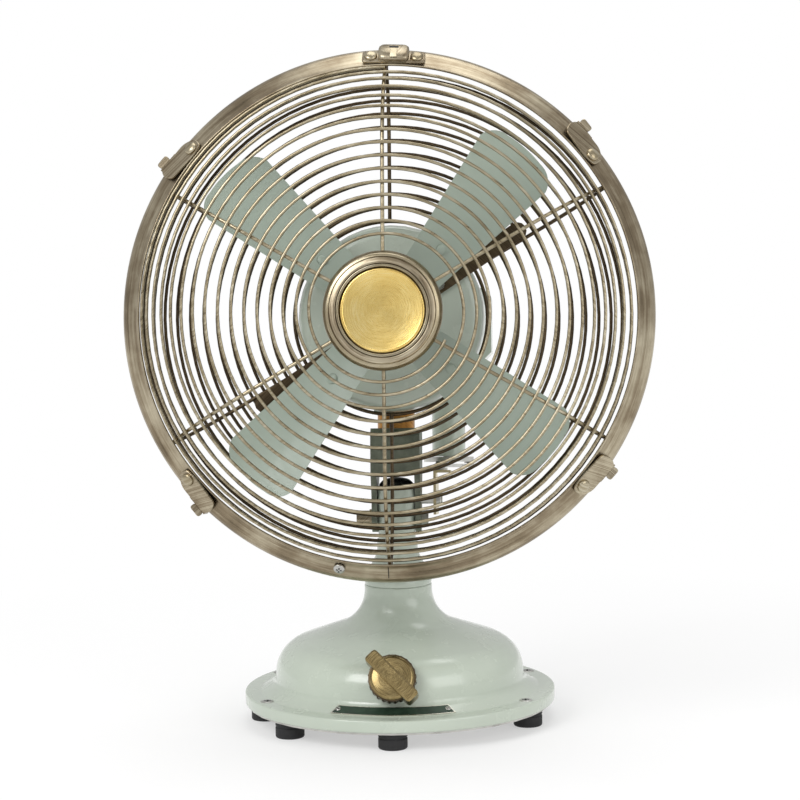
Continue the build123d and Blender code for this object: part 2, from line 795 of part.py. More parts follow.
for blade in range(blade_count):
    angle = blade_phase + 360 / blade_count * blade
    across_blade = blade_frame(angle)
    with BuildPart() as fan_blade:
        # a strip of rolled sheet along the spoke
        with BuildSketch(across_blade.offset(blade_root)):
            with BuildLine():
                chord_stations = [-40, -24, -8, 8, 24, 40]
                camber = [(x, -x * x / (2 * camber_radius)) for x in chord_stations]
                front_edge = [(x, y + blade_gauge / 2) for x, y in camber]
                back_edge = [(x, y - blade_gauge / 2) for x, y in camber[::-1]]
                Polyline(*front_edge, *back_edge, close=True)
            make_face()
        extrude(amount=blade_tip - blade_root)
        # cut to the blade's outline as it is seen from the front
        with BuildSketch(front_view(angle, -40)):
            with BuildLine():
                shoulder = blade_tip - tip_corner
                Polyline(
                    (shoulder, -half_width(shoulder) - 1),
                    (blade_root, -half_width(blade_root)),
                    (blade_root, half_width(blade_root)),
                    (shoulder, half_width(shoulder) + 1),
                )
                ThreePointArc(
                    (shoulder, half_width(shoulder) + 1),
                    (blade_tip - 4.5, half_width(shoulder) - 4),
                    (blade_tip - 1.2, half_width(shoulder) - tip_corner),
                )
                ThreePointArc(
                    (blade_tip - 1.2, half_width(shoulder) - tip_corner),
                    (blade_tip, 0),
                    (blade_tip - 1.2, tip_corner - half_width(shoulder)),
                )
                ThreePointArc(
                    (blade_tip - 1.2, tip_corner - half_width(shoulder)),
                    (blade_tip - 4.5, 4 - half_width(shoulder)),
                    (shoulder, -half_width(shoulder) - 1),
                )
            make_face()
        extrude(amount=90, mode=Mode.INTERSECT)
    save(fan_blade.part, f"blade_{blade + 1}")

arm_back = -blade_gauge / 2 - 2.5
with BuildPart() as blade_spider:
    with BuildSketch(rim.offset(hub_back)):
        RegularPolygon(hub_radius, 24)
    extrude(amount=hub_front - hub_back)
    for blade in range(blade_count):
        across_blade = blade_frame(blade_phase + 360 / blade_count * blade)
        with BuildSketch(across_blade.offset(8)):
            with Locations((0, arm_back)):
                Rectangle(18, 2, align=(Align.CENTER, Align.MIN))
        extrude(amount=arm_reach - 8)
    with BuildSketch(rim.offset(hub_back - 1)):
        shaft(shaft_radius)
    extrude(amount=60, mode=Mode.SUBTRACT)
save(blade_spider.part, "blade_spider")

with BuildPart() as blade_rivets:
    for blade in range(blade_count):
        across_blade = blade_frame(blade_phase + 360 / blade_count * blade)
        front = Plane(
            origin=across_blade.origin + across_blade.y_dir * blade_gauge / 2,
            x_dir=across_blade.x_dir,
            z_dir=across_blade.y_dir,
        )
        with BuildSketch(front):
            with Locations((0, -rivet_circle)):
                RegularPolygon(3.7, 10)
        extrude(amount=2)
save(blade_rivets.part, "blade_rivets")

with BuildPart() as spinner_nut:
    with BuildSketch(rim.offset(hub_front)):
        RegularPolygon(8, 6)
        RegularPolygon(shaft_radius, 16, mode=Mode.SUBTRACT)
    extrude(amount=6)
save(spinner_nut.part, "spinner_nut")

# ==========================================================================================
# GUARD
# ==========================================================================================

# both guards follow a meridian: an arc from the rim, then a straight run to the middle. The
# slope is measured from the radial direction, and `forward` is +1 in front and -1 behind
wire_radius = 1.45           # to the corners of the four-sided wire
wire_half = wire_radius * cos(pi / 4)
rib_half = 1.2
rib_gap = 0.25               # between a rib and the coil, whose flats lie a little inside
sections_a_turn = 18
band_sides = 48              # a corner of the bands falls on each rib
rib_angles = [30, 90, 150, 210, 270, 330]


def guard_curve(start, radius, slope_start, slope_end, forward, reach):
    """Radius, forward position and slope of a guard's meridian at an arc length."""
    bend = radius * radians(slope_start - slope_end)
    slope = slope_start - degrees(min(reach, bend) / radius)
    along = max(reach - bend, 0)
    centre_radius = start[0] - radius * sin(radians(slope_start))
    centre_forward = start[1] - forward * radius * cos(radians(slope_start))
    place_radius = centre_radius + radius * sin(radians(slope)) - along * cos(radians(slope))
    rise = radius * cos(radians(slope)) + along * sin(radians(slope))
    return place_radius, centre_forward + forward * rise, slope


def front_curve(reach):
    return guard_curve((166.5, 0), 73.0, 66.0, 4.0, 1, reach)


def rear_curve(reach):
    return guard_curve((168.0, -18.0), 50.0, 60.0, 0.0, -1, reach)


def inside(curve, forward, reach, depth):
    """The point at a depth behind a guard's curve, towards the blades."""
    radius, place, slope = curve(reach)
    return radius - depth * sin(radians(slope)), place - forward * depth * cos(radians(slope))


def coil(curve, forward, coil_reach, turns):
    """One wire wound inwards along a guard's curve, from the top."""
    sections = []
    for k in range(int(turns * sections_a_turn) + 1):
        lap = k / sections_a_turn
        radius, place, slope = curve(coil_reach(lap))
        with BuildSketch(meridian_at(90 + 360 * lap)) as section:
            with Locations((radius, place)):
                RegularPolygon(wire_radius, 4, rotation=45 - forward * slope)
        sections.append(section.sketch.face())
    loft(sections, ruled=True)


def rib_profile(curve, forward, reaches, foot):
    near = wire_half + rib_gap
    outer_edge = [inside(curve, forward, reach, near) for reach in reaches]
    inner_edge = [inside(curve, forward, reach, near + 2 * rib_half) for reach in reaches]
    return outer_edge + inner_edge[::-1] + foot


def bend_reaches(radius, slope_turn, flats, end):
    bend = radius * radians(slope_turn)
    return [bend * i / flats for i in range(flats + 1)] + [end]


with BuildPart() as front_spiral:
    coil(front_curve, 1, lambda lap: 9.2 * lap - 0.0215 * lap * lap, 15.68)
save(front_spiral.part, "front_spiral")

with BuildPart() as rear_spiral:
    coil(rear_curve, -1, lambda lap: 9.2 * lap, 11.66)
save(rear_spiral.part, "rear_spiral")

# each rib ends in a foot behind the band
front_foot = [(168.5, -7.4), (170.5, -5.4), (166.7, -3.0)]
with BuildPart() as front_ribs:
    for angle in rib_angles:
        with BuildSketch(meridian_at(angle).offset(-rib_half)):
            with BuildLine():
                reaches = bend_reaches(73.0, 62.0, 4, 153.0)
                Polyline(*rib_profile(front_curve, 1, reaches, front_foot), close=True)
            make_face()
        extrude(amount=2 * rib_half)
save(front_ribs.part, "front_ribs")

rear_foot = [(165.0, -13.8), (177.25, -13.8), (177.25, -16.1), (167.7, -16.1)]
ring_inner = motor_radius + 0.8
with BuildPart() as rear_ribs:
    for angle in rib_angles:
        with BuildSketch(meridian_at(angle).offset(-rib_half)):
            with BuildLine():
                reaches = bend_reaches(50.0, 60.0, 4, 112.0)
                Polyline(*rib_profile(rear_curve, -1, reaches, rear_foot), close=True)
            make_face()
        extrude(amount=2 * rib_half)
    with BuildSketch(rim.offset(-43 - wire_half)):
        RegularPolygon(ring_inner + 2.6, 30)
        RegularPolygon(ring_inner, 30, mode=Mode.SUBTRACT)
    extrude(amount=2 * wire_half + rib_gap)
save(rear_ribs.part, "rear_ribs")

with BuildPart() as front_band:
    stack(rim, band_sides, [(-22, 180), (-12.5, 180), (-8.5, 178), (0, 168.4)])
    hollow = [(-22.5, 178.8), (-12.8, 178.8), (-9.6, 177.2), (-2, 167), (0.6, 168.82)]
    stack(rim, band_sides, hollow, mode=Mode.SUBTRACT)
save(front_band.part, "front_band")

# the rear band nests inside the front one and is turned in at the back
with BuildPart() as rear_band:
    with BuildSketch(rim.offset(-25.2)):
        RegularPolygon(178.6, band_sides)
        RegularPolygon(171.5, band_sides, mode=Mode.SUBTRACT)
    extrude(amount=1.2)
    with BuildSketch(rim.offset(-24)):
        RegularPolygon(178.6, band_sides)
        RegularPolygon(177.4, band_sides, mode=Mode.SUBTRACT)
    extrude(amount=11)
save(rear_band.part, "rear_band")

# flat bar across the back of the cage that screws it to the motor
bar_angle = 33.5
bar_back = motor_face + 0.3
bar_thickness = 2.0
bar_screw_circle = 40.0
bar_plane = front_view(bar_angle, bar_back)
with BuildPart() as mounting_bar:
    with BuildSketch(bar_plane):
        Rectangle(210, 12)
        with Locations((105, 0), (-105, 0)):
            RegularPolygon(6, 12)
        RegularPolygon(24, 20)
        RegularPolygon(16.5, 16, mode=Mode.SUBTRACT)
        with Locations((bar_screw_circle, 0), (-bar_screw_circle, 0)):
            RegularPolygon(2, 8, mode=Mode.SUBTRACT)
    extrude(amount=bar_thickness)
save(mounting_bar.part, "mounting_bar")

with BuildPart() as bar_screws:
    with BuildSketch(bar_plane.offset(motor_face - bar_back)):
        with Locations((bar_screw_circle, 0), (-bar_screw_circle, 0)):
            RegularPolygon(1.98, 8)
    extrude(amount=bar_thickness + bar_back - motor_face)
    with BuildSketch(bar_plane.offset(bar_thickness)):
        with Locations((bar_screw_circle, 0), (-bar_screw_circle, 0)):
            RegularPolygon(4, 10)
    extrude(amount=2)
save(bar_screws.part, "bar_screws")

# badge in the middle: a plate on the ribs, a moulded ring and a plain disc
badge_back = 47.3
badge_seat = badge_back + 1.6
badge_radius = 39.5
disc_radius = 27.7
with BuildPart() as badge_plate:
    with BuildSketch(rim.offset(badge_back)):
        RegularPolygon(badge_radius - 1.2, 20)
    extrude(amount=badge_seat - badge_back)
save(badge_plate.part, "badge_plate")

with BuildPart() as badge_ring:
    ring_stations = [
        (badge_seat, badge_radius),
        (badge_seat + 2.6, badge_radius),
        (badge_seat + 6.2, badge_radius - 2.6),
        (badge_seat + 7.2, badge_radius - 6),
    ]
    stack(rim, 24, ring_stations)
    with BuildSketch(rim.offset(badge_seat)):
        RegularPolygon(disc_radius + 0.9, 24)
    extrude(amount=10, mode=Mode.SUBTRACT)
save(badge_ring.part, "badge_ring")

with BuildPart() as badge_disc:
    with BuildSketch(rim.offset(badge_seat)):
        RegularPolygon(disc_radius, 24)
    extrude(amount=5.4)
    with BuildSketch(rim.offset(badge_seat + 4.8)):
        RegularPolygon(disc_radius - 1.3, 24)
    extrude(amount=2, mode=Mode.SUBTRACT)
save(badge_disc.part, "badge_disc")

# the band's sloping face, which carries hook, screw and latches
face_radius = 173.2
face_forward = -4.25
face_normal = Vector(8.5, 9.6).normalized()


def on_band(angle, lift=0.0):
    """A plane on the sloping face: local x anticlockwise, local y towards the middle."""
    spoke = meridian_at(angle).x_dir
    normal = spoke * face_normal.X + rim.z_dir * face_normal.Y
    foot = rim.origin + spoke * face_radius + rim.z_dir * face_forward
    return Plane(origin=foot + normal * lift, x_dir=rim.z_dir.cross(spoke), z_dir=normal)


hook_angle = 88.1
hook_width = 42.5
hook_plate = 1.2
with BuildPart() as top_hook:
    with BuildSketch(on_band(hook_angle, 0.1)):
        Rectangle(hook_width, 11)
    extrude(amount=hook_plate)
    with BuildSketch(on_band(hook_angle, 0.1)):
        with Locations((0, -1.5)):
            Rectangle(20.7, 15)
    extrude(amount=5.5)
save(top_hook.part, "top_hook")

with BuildPart() as hook_rivets:
    with BuildSketch(on_band(hook_angle, 0.1 + hook_plate)):
        with Locations((-15.6, 0), (15.6, 0)):
            RegularPolygon(4.4, 12)
    extrude(amount=2.4, taper=28)
save(hook_rivets.part, "hook_rivets")

with BuildPart() as band_screw:
    with BuildSketch(on_band(258.7, 0.05)):
        RegularPolygon(3.9, 12)
    extrude(amount=2)
save(band_screw.part, "band_screw")

# four latches turn on rivets in the band and hook behind the rear band
latch_angles = [37.3, 139.2, 218.9, 318.3]
latch_lift = 0.3
latch_thickness = 1.4
latch_start = -6.0
latch_end = 24.0
latch_outer = 9.4
hook_reach = 18.5
fold_lift = 1.2
fold_middle = 17.0           # far enough from the rivet to swing clear of the bands
fold_width = 15.0
lip_middle = 18.5
lip_width = 10.0
rivet_radius = 2.0
for number, angle in enumerate(latch_angles):
    rivet_plane = on_band(angle, latch_lift)
    with BuildPart() as latch:
        with BuildSketch(rivet_plane):
            with BuildLine():
                Polyline(
                    (latch_start, 4),
                    (latch_start, -4),
                    (2, -latch_outer),
                    (latch_end, -latch_outer),
                    (latch_end + 3, -3),
                    (latch_end, 5),
                    (latch_start + 3, 6),
                    close=True,
                )
            make_face()
            bore(rivet_radius)
        extrude(amount=latch_thickness)
        # flange folded back over the band, with a lip behind the rear band
        edge = rivet_plane.from_local_coords(Vector(0, -latch_outer, 0))
        fold = Plane(origin=edge, x_dir=rivet_plane.x_dir, z_dir=rim.z_dir)
        with BuildSketch(fold.offset(fold_lift)):
            with Locations((fold_middle, -0.4)):
                Rectangle(fold_width, latch_thickness)
        extrude(amount=-hook_reach)
        with BuildSketch(fold.offset(fold_lift - hook_reach)):
            with Locations((lip_middle, 2)):
                Rectangle(lip_width, 6.2)
        extrude(amount=latch_thickness)
    save(latch.part, f"latch_{number + 1}")

with BuildPart() as latch_rivets:
    for angle in latch_angles:
        with BuildSketch(on_band(angle, 0.05)):
            RegularPolygon(rivet_radius, 8)
        extrude(amount=latch_lift + latch_thickness + 0.05)
        with BuildSketch(on_band(angle, latch_lift + latch_thickness + 0.1)):
            RegularPolygon(4.5, 10)
        extrude(amount=2.4)
save(latch_rivets.part, "latch_rivets")

catch_turn = 5.0
with BuildPart() as latch_catches:
    for angle in latch_angles:
        spoke = meridian_at(angle + catch_turn)
        with BuildSketch(spoke.offset(-5)):
            with Locations((174, -16.5)):
                Rectangle(5.6, 5)
        extrude(amount=10)
save(latch_catches.part, "latch_catches")
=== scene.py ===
import json
import math

import bmesh
import bpy
from mathutils import Matrix, Vector


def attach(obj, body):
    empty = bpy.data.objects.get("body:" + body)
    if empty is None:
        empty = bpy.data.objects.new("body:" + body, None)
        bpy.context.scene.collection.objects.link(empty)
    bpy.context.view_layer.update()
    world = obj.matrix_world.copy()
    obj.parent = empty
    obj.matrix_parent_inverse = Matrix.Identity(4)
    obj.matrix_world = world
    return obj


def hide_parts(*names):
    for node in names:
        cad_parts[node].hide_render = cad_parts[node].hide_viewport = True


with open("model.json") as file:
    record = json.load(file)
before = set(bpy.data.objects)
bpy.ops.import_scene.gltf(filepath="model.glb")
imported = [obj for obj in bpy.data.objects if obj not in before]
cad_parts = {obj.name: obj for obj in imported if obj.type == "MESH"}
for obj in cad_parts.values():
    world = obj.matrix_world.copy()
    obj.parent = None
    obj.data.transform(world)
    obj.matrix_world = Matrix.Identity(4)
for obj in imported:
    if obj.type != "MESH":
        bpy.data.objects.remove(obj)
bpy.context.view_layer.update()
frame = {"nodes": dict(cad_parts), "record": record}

# ---- driving dimensions: millimetres and degrees, as in part.py ----------------------------

MM = 0.001                   # the piece makers turn millimetres into metres
HEAD_PITCH = 8.5
BOLT_HEIGHT = 142.0
FAN_AXIS_HEIGHT = 137.5      # above the tilt bolt, along the swivel axis
RIM_FORWARD = 95.0           # front edge of the guard in front of the swivel axis

FOOT_HEIGHT = 11.5
FOOT_RADIUS = 10.0
FOOT_CIRCLE = 95.0
FOOT_ANGLES = (0, 72, 140, -140, -86, -50)
FLANGE_BOTTOM = 13.0
FLANGE_TOP = 21.6
FLANGE_RADIUS = 109.0
SCREW_CIRCLE = 101.0
SCREW_ANGLES = (62, -62, 118, -118)
STEP_RADIUS = 97.5           # foot of the sloping step that carries the nameplate
STEP_LOW = 21.9
STEP_SLOPE = 30.0
DOME_RADIUS = 87.0
SHOULDER_CENTRE = (63.0, 34.0)
SHOULDER_RADIUS = 24.0
SHOULDER_TURN = 70.0
ROOF_END = 41.0
NECK_BLEND = 26.4
NECK_RADIUS = 23.6
NECK_TOP = 96.0
POST_RADIUS = 14.2
POST_BORE = 9.0
POST_FLAT = 12.8             # half the width across the post's flats
POST_TOP = 164.0
FLARE_HEIGHT = 26.0
FLAT_BOTTOM = 127.0
CAP_RADIUS = 12.0

KNOB_TILT = 25.0
KNOB_REACH = 84.751
KNOB_HEIGHT = 44.143
KNOB_RADIUS = 16.5
KNOB_SCALLOPS = 24

BLADE_PHASE = 49.5
BLADE_PITCH = 27.0
BLADE_FORWARD = 3.0
RIVET_CIRCLE = 56.5

BAND_RADIUS = 180.0
FACE_RADIUS = 173.2          # middle of the band's sloping face
FACE_FORWARD = -4.25
FACE_SLOPE = (8.5, 9.6)      # its normal, outward and forward
RIB_ANGLES = (30, 90, 150, 210, 270, 330)
BADGE_RADIUS = 39.5
BADGE_BACK = 47.3
BADGE_SEAT = 48.9
DISC_RADIUS = 27.7
HOOK_ANGLE = 88.1
RIM_SCREW_ANGLE = 258.7
SEAM_ANGLE = 269.7
LATCH_ANGLES = (37.3, 139.2, 218.9, 318.3)

HAIR = 0.02                  # bevel of the slots and recesses drawn dark in painted shade
PROUD = 0.06                 # how far a recess, a dark plate in painted shade, stands out of its head, so that it shows

# ---- directions and places ----------------------------------------------------------------


def cosd(angle):
    return math.cos(math.radians(angle))


def sind(angle):
    return math.sin(math.radians(angle))


UP = Vector((0, sind(HEAD_PITCH), cosd(HEAD_PITCH)))
FORWARD = Vector((0, -cosd(HEAD_PITCH), sind(HEAD_PITCH)))
RIGHT = Vector((1, 0, 0))
RIM_ORIGIN = Vector((0, 0, BOLT_HEIGHT)) + FORWARD * RIM_FORWARD + UP * FAN_AXIS_HEIGHT


def plane(origin, x_dir, z_dir):
    """A piece's frame. The origin is given in millimetres and kept in metres."""
    z = z_dir.normalized()
    x = (x_dir - z * x_dir.dot(z)).normalized()
    matrix = Matrix((x, z.cross(x), z)).transposed().to_4x4()
    matrix.translation = Vector(origin) * MM
    return matrix


WORLD = Matrix.Identity(4)
RIM = plane(RIM_ORIGIN, RIGHT, FORWARD)
KNOB = plane((0, -KNOB_REACH, KNOB_HEIGHT), RIGHT, Vector((0, -cosd(KNOB_TILT), sind(KNOB_TILT))))


def shifted(x, y, z):
    return Matrix.Translation(Vector((x, y, z)) * MM)


def around_base(radius, angle, height):
    """A point round the base's axis, its angle from the front towards +X."""
    return Vector((radius * sind(angle), -radius * cosd(angle), height))


def spoke(angle):
    """A direction square to the fan's axis, anticlockwise from +X as seen from the front."""
    return RIGHT * cosd(angle) + UP * sind(angle)


def on_band(angle, lift=0.0):
    """On the band's sloping face: x anticlockwise, y towards the middle."""
    normal = (spoke(angle) * FACE_SLOPE[0] + FORWARD * FACE_SLOPE[1]).normalized()
    foot = RIM_ORIGIN + spoke(angle) * FACE_RADIUS + FORWARD * FACE_FORWARD
    return plane(foot + normal * lift, FORWARD.cross(spoke(angle)), normal)


# ---- camera -------------------------------------------------------------------------------


def add_camera(azimuth, elevation, roll, distance, target_side, target_height, lens):
    """Looks at a point above the floor, from an angle round from the front towards +X."""
    out = Vector((
        sind(azimuth) * cosd(elevation),
        -cosd(azimuth) * cosd(elevation),
        sind(elevation),
    ))
    side = Vector((cosd(azimuth), sind(azimuth), 0))
    above = out.cross(side)
    eye = side * target_side + Vector((0, 0, target_height)) + out * distance
    camera = bpy.data.objects.new("camera", bpy.data.cameras.new("camera"))
    camera.matrix_world = plane(eye, side * cosd(roll) + above * sind(roll), out)
    camera.data.lens = lens
    camera.data.sensor_width = 36
    bpy.context.collection.objects.link(camera)
    bpy.context.scene.camera = camera


add_camera(
    azimuth=3.2,
    elevation=7.1,
    roll=-1.0,
    distance=2105,
    target_side=3.5,
    target_height=225,
    lens=135.8,
)

# ---- materials ----------------------------------------------------------------------------


def srgb(red, green, blue):
    """A colour as it is read off a picture, made linear."""
    parts = [c / 255 for c in (red, green, blue)]
    return tuple(c / 12.92 if c <= 0.04045 else ((c + 0.055) / 1.055) ** 2.4 for c in parts) + (1.0,)


class Graph:
    """A material's nodes: inputs are given as values, or as sockets to link."""

    def __init__(self, name):
        self.material = bpy.data.materials.new(name)
        self.material.use_nodes = True
        self.tree = self.material.node_tree
        self.shader = self.tree.nodes["Principled BSDF"]

    def feed(self, node, inputs):
        for key, value in inputs.items():
            if isinstance(value, bpy.types.NodeSocket):
                self.tree.links.new(value, node.inputs[key])
            else:
                node.inputs[key].default_value = value
        return node

    def add(self, kind, inputs=None, **settings):
        node = self.tree.nodes.new("ShaderNode" + kind)
        for key, value in settings.items():
            setattr(node, key, value)
        return self.feed(node, inputs or {})

    def math(self, operation, *values):
        return self.add("Math", dict(enumerate(values)), operation=operation).outputs[0]

    def vector_math(self, operation, inputs, output=0):
        return self.add("VectorMath", inputs, operation=operation).outputs[output]

    def place(self):
        return self.add("TexCoord").outputs["Object"]

    def noise(self, vector, scale, detail=4.0, roughness=0.55):
        inputs = {"Vector": vector, "Scale": scale, "Detail": detail, "Roughness": roughness}
        return self.add("TexNoise", inputs).outputs["Fac"]

    def spun(self, across, around):
        """Coordinates that change fast along the radius and slowly round the piece's axis."""
        x, y, z = self.add("SeparateXYZ", {0: self.place()}).outputs
        flat = self.add("CombineXYZ", {0: x, 1: y}).outputs[0]
        radius = self.vector_math("LENGTH", {0: flat}, "Value")
        turned = self.vector_math("NORMALIZE", {0: flat})
        turned = self.vector_math("SCALE", {0: turned, "Scale": around})
        step = self.math("MULTIPLY", self.math("ADD", radius, z), across)
        lift = self.add("CombineXYZ", {2: step}).outputs[0]
        return self.vector_math("ADD", {0: turned, 1: lift})

    def ramp(self, factor, stops):
        node = self.add("ValToRGB", {"Fac": factor})
        elements = node.color_ramp.elements
        while len(elements) < len(stops):
            elements.new(0.5)
        for element, (position, colour) in zip(elements, stops):
            element.position = position
            element.color = colour
        return node.outputs["Color"]

    def spread(self, factor, low, high):
        """Stretches the middle of a noise over a range."""
        inputs = {"Value": factor, "From Min": 0.3, "From Max": 0.7, "To Min": low, "To Max": high}
        return self.add("MapRange", inputs).outputs[0]

    def mix(self, factor, first, second):
        node = self.add("Mix", data_type="RGBA")
        self.feed(node, {0: factor, 6: first, 7: second})
        return node.outputs[2]

    def bump(self, height, strength, reach=0.0004):
        inputs = {"Height": height, "Strength": strength, "Distance": reach}
        return self.add("Bump", inputs).outputs[0]

    def done(self, **sockets):
        self.feed(self.shader, {key.replace("_", " "): value for key, value in sockets.items()})
        return self.material


def paint(name, colour, shade, rough, coat, peel):
    """Stoved enamel: slow drift of tone, fine grain and a faint orange peel."""
    g = Graph(name)
    drift = g.noise(g.place(), 14.0)
    grain = g.noise(g.place(), 420.0, detail=2.0)
    tone = g.ramp(drift, [(0.3, shade), (0.7, colour)])
    tone = g.mix(0.06, tone, g.ramp(grain, [(0.35, shade), (0.65, colour)]))
    return g.done(
        Base_Color=tone,
        Roughness=g.spread(g.noise(g.place(), 60.0), *rough),
        Metallic=0.0,
        Coat_Weight=coat,
        Coat_Roughness=0.12,
        Normal=g.bump(g.noise(g.place(), 650.0, detail=1.0), peel),
    )


def brushed(name, stops, rough, across=1900.0, around=1.6):
    """Metal brushed round its axis, aged darker in patches."""
    g = Graph(name)
    streak = g.noise(g.spun(across, around), 1.0, detail=6.0, roughness=0.7)
    patch = g.noise(g.place(), 38.0, detail=5.0)
    age = g.math("ADD", g.math("MULTIPLY", streak, 0.62), g.math("MULTIPLY", patch, 0.38))
    return g.done(
        Base_Color=g.ramp(age, stops),
        Metallic=1.0,
        Roughness=g.spread(streak, *rough),
        Anisotropic=0.35,
        Normal=g.bump(streak, 0.12, reach=0.0002),
    )


def plated(name, colour, shade, rough, metallic=1.0, scale=90.0, lift=0.08):
    """Plated, cast or moulded stock with fine mottling."""
    g = Graph(name)
    cloud = g.noise(g.place(), scale, detail=6.0)
    fine = g.noise(g.place(), scale * 9, detail=3.0)
    return g.done(
        Base_Color=g.ramp(cloud, [(0.32, shade), (0.66, colour)]),
        Metallic=metallic,
        Roughness=g.spread(cloud, *rough),
        Normal=g.bump(fine, lift),
    )


def tones(dark, middle, light, places=(0.3, 0.5, 0.68)):
    """Colour stops of a brushed metal."""
    return [(place, srgb(*colour)) for place, colour in zip(places, (dark, middle, light))]


ANTIQUE = tones((84, 74, 58), (140, 126, 104), (196, 186, 162), (0.3, 0.46, 0.62))
BRIGHT = tones((112, 100, 78), (164, 152, 126), (208, 200, 178))
GOLD = tones((206, 170, 92), (236, 206, 126), (250, 230, 168))
KNOB_BRASS = tones((92, 78, 50), (146, 128, 88), (186, 168, 124))
COLLAR = tones((120, 82, 40), (172, 124, 66), (206, 160, 96))
# painted shade: tones of the brass made darker for parts that sit in shade
SHADE_TONES = tones((52, 44, 34), (84, 72, 56), (120, 104, 80), (0.3, 0.5, 0.7))

materials = {
    "sage_paint": paint(
        "sage_paint", srgb(192, 201, 187), srgb(181, 191, 177), (0.2, 0.3), coat=0.5, peel=0.05
    ),
    "blade_paint": paint(
        "blade_paint", srgb(164, 176, 162), srgb(154, 167, 154), (0.36, 0.46), coat=0.15, peel=0.08
    ),
    "antique_brass": brushed("antique_brass", ANTIQUE, (0.24, 0.42)),
    "gold_badge": brushed("gold_badge", GOLD, (0.2, 0.34), across=3600.0, around=2.4),
    "knob_brass": brushed("knob_brass", KNOB_BRASS, (0.2, 0.36), across=2400.0, around=2.0),
    "collar_brass": brushed("collar_brass", COLLAR, (0.24, 0.4)),
    "yellow_zinc": plated("yellow_zinc", srgb(216, 204, 168), srgb(178, 164, 120), (0.25, 0.42)),
    "zinc": plated("zinc", srgb(208, 207, 202), srgb(168, 167, 162), (0.24, 0.4)),
    "core_steel": plated("core_steel", srgb(96, 94, 92), srgb(62, 60, 58), (0.35, 0.55)),
    "coil_copper": plated("coil_copper", srgb(176, 98, 52), srgb(128, 66, 34), (0.3, 0.45)),
    # painted shade: this darker grey-green is the body's sage paint as it looks in the shade under the motor, on the
    # yoke and the gearbox
    "cast_yoke": plated(
        "cast_yoke", srgb(126, 132, 116), srgb(98, 104, 90), (0.4, 0.55),
        metallic=0.25, scale=130.0, lift=0.25,
    ),
    "green_plate": plated(
        "green_plate", srgb(44, 66, 50), srgb(32, 50, 38), (0.3, 0.42),
        metallic=0.2, scale=160.0, lift=0.05,
    ),
    "black_plastic": plated(
        "black_plastic", srgb(30, 30, 30), srgb(20, 20, 20), (0.24, 0.34),
        metallic=0.0, scale=80.0, lift=0.04,
    ),
    "black_rubber": plated(
        "black_rubber", srgb(34, 34, 35), srgb(24, 24, 25), (0.6, 0.75),
        metallic=0.0, scale=120.0, lift=0.2,
    ),
}
wire_brass = brushed("wire_brass", BRIGHT, (0.24, 0.4), across=500.0, around=6.0)
# painted shade: the brass made darker for the rear guard, the badge's back, the knob's skirt, the mounting bar and the
# latch catches
painted_shade_brass = brushed("painted_shade_brass", SHADE_TONES, (0.3, 0.48))
silver_edge = plated("silver_edge", srgb(214, 212, 200), srgb(186, 184, 172), (0.22, 0.36))
# painted shade: near-black for the screw recesses and slots, the hook's slot and the ring behind the motor's slots,
# where shade falls; the band's seam uses it as a dark joint
painted_shade_and_seam_black = plated("painted_shade_and_seam_black", srgb(16, 15, 14), srgb(9, 9, 9), (0.55, 0.7), metallic=0.0)
# painted highlight: lighter copies of the brass for the badge ring's outer bevel and inner lip, where they catch the
# light; the band between keeps antique_brass
ring_painted_highlight = brushed("ring_painted_highlight", BRIGHT, (0.22, 0.36), across=2600.0, around=2.0)
lip_painted_highlight = brushed("lip_painted_highlight", BRIGHT, (0.2, 0.34), across=2600.0, around=2.0)

# ---- piece makers -------------------------------------------------------------------------


def finish(name, data, matrix, body, slot, nodes=(), material=None, crease=35.0):
    """Gives a mesh or curve its place, shading, finish and body."""
    piece = bpy.data.objects.new(name, data)
    bpy.context.collection.objects.link(piece)
    piece.matrix_world = matrix
    data.materials.append(material or materials[slot])
    if isinstance(data, bpy.types.Mesh):
        data.shade_smooth()
        data.set_sharp_from_angle(angle=math.radians(crease))
    if nodes:
        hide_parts(*nodes)
    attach(piece, body)


def built(name, bm, body, slot, nodes=(), matrix=WORLD, **looks):
    """Finishes the closed surfaces gathered in bm."""
    bmesh.ops.recalc_face_normals(bm, faces=bm.faces)
    mesh = bpy.data.meshes.new(name)
    bm.to_mesh(mesh)
    bm.free()
    finish(name, mesh, matrix, body, slot, nodes, **looks)


def fillet(points, radius, steps=4, closed=False):
    """Rounds the corners of a line, each as far as its shorter side allows."""
    points = [Vector(p) for p in points]
    rounded = []
    for i, point in enumerate(points):
        if not closed and i in (0, len(points) - 1):
            rounded.append(point)
            continue
        back = points[i - 1] - point
        ahead = points[(i + 1) % len(points)] - point
        reach = min(radius, 0.45 * back.length, 0.45 * ahead.length)
        first = point + back.normalized() * reach
        last = point + ahead.normalized() * reach
        for step in range(steps + 1):
            t = step / steps
            rounded.append(first * (1 - t) ** 2 + point * 2 * t * (1 - t) + last * t * t)
    return [tuple(p) for p in rounded]


def arc(centre, radius, start, end, steps):
    turns = [start + (end - start) * i / steps for i in range(steps + 1)]
    return [(centre[0] + radius * cosd(t), centre[1] + radius * sind(t)) for t in turns]


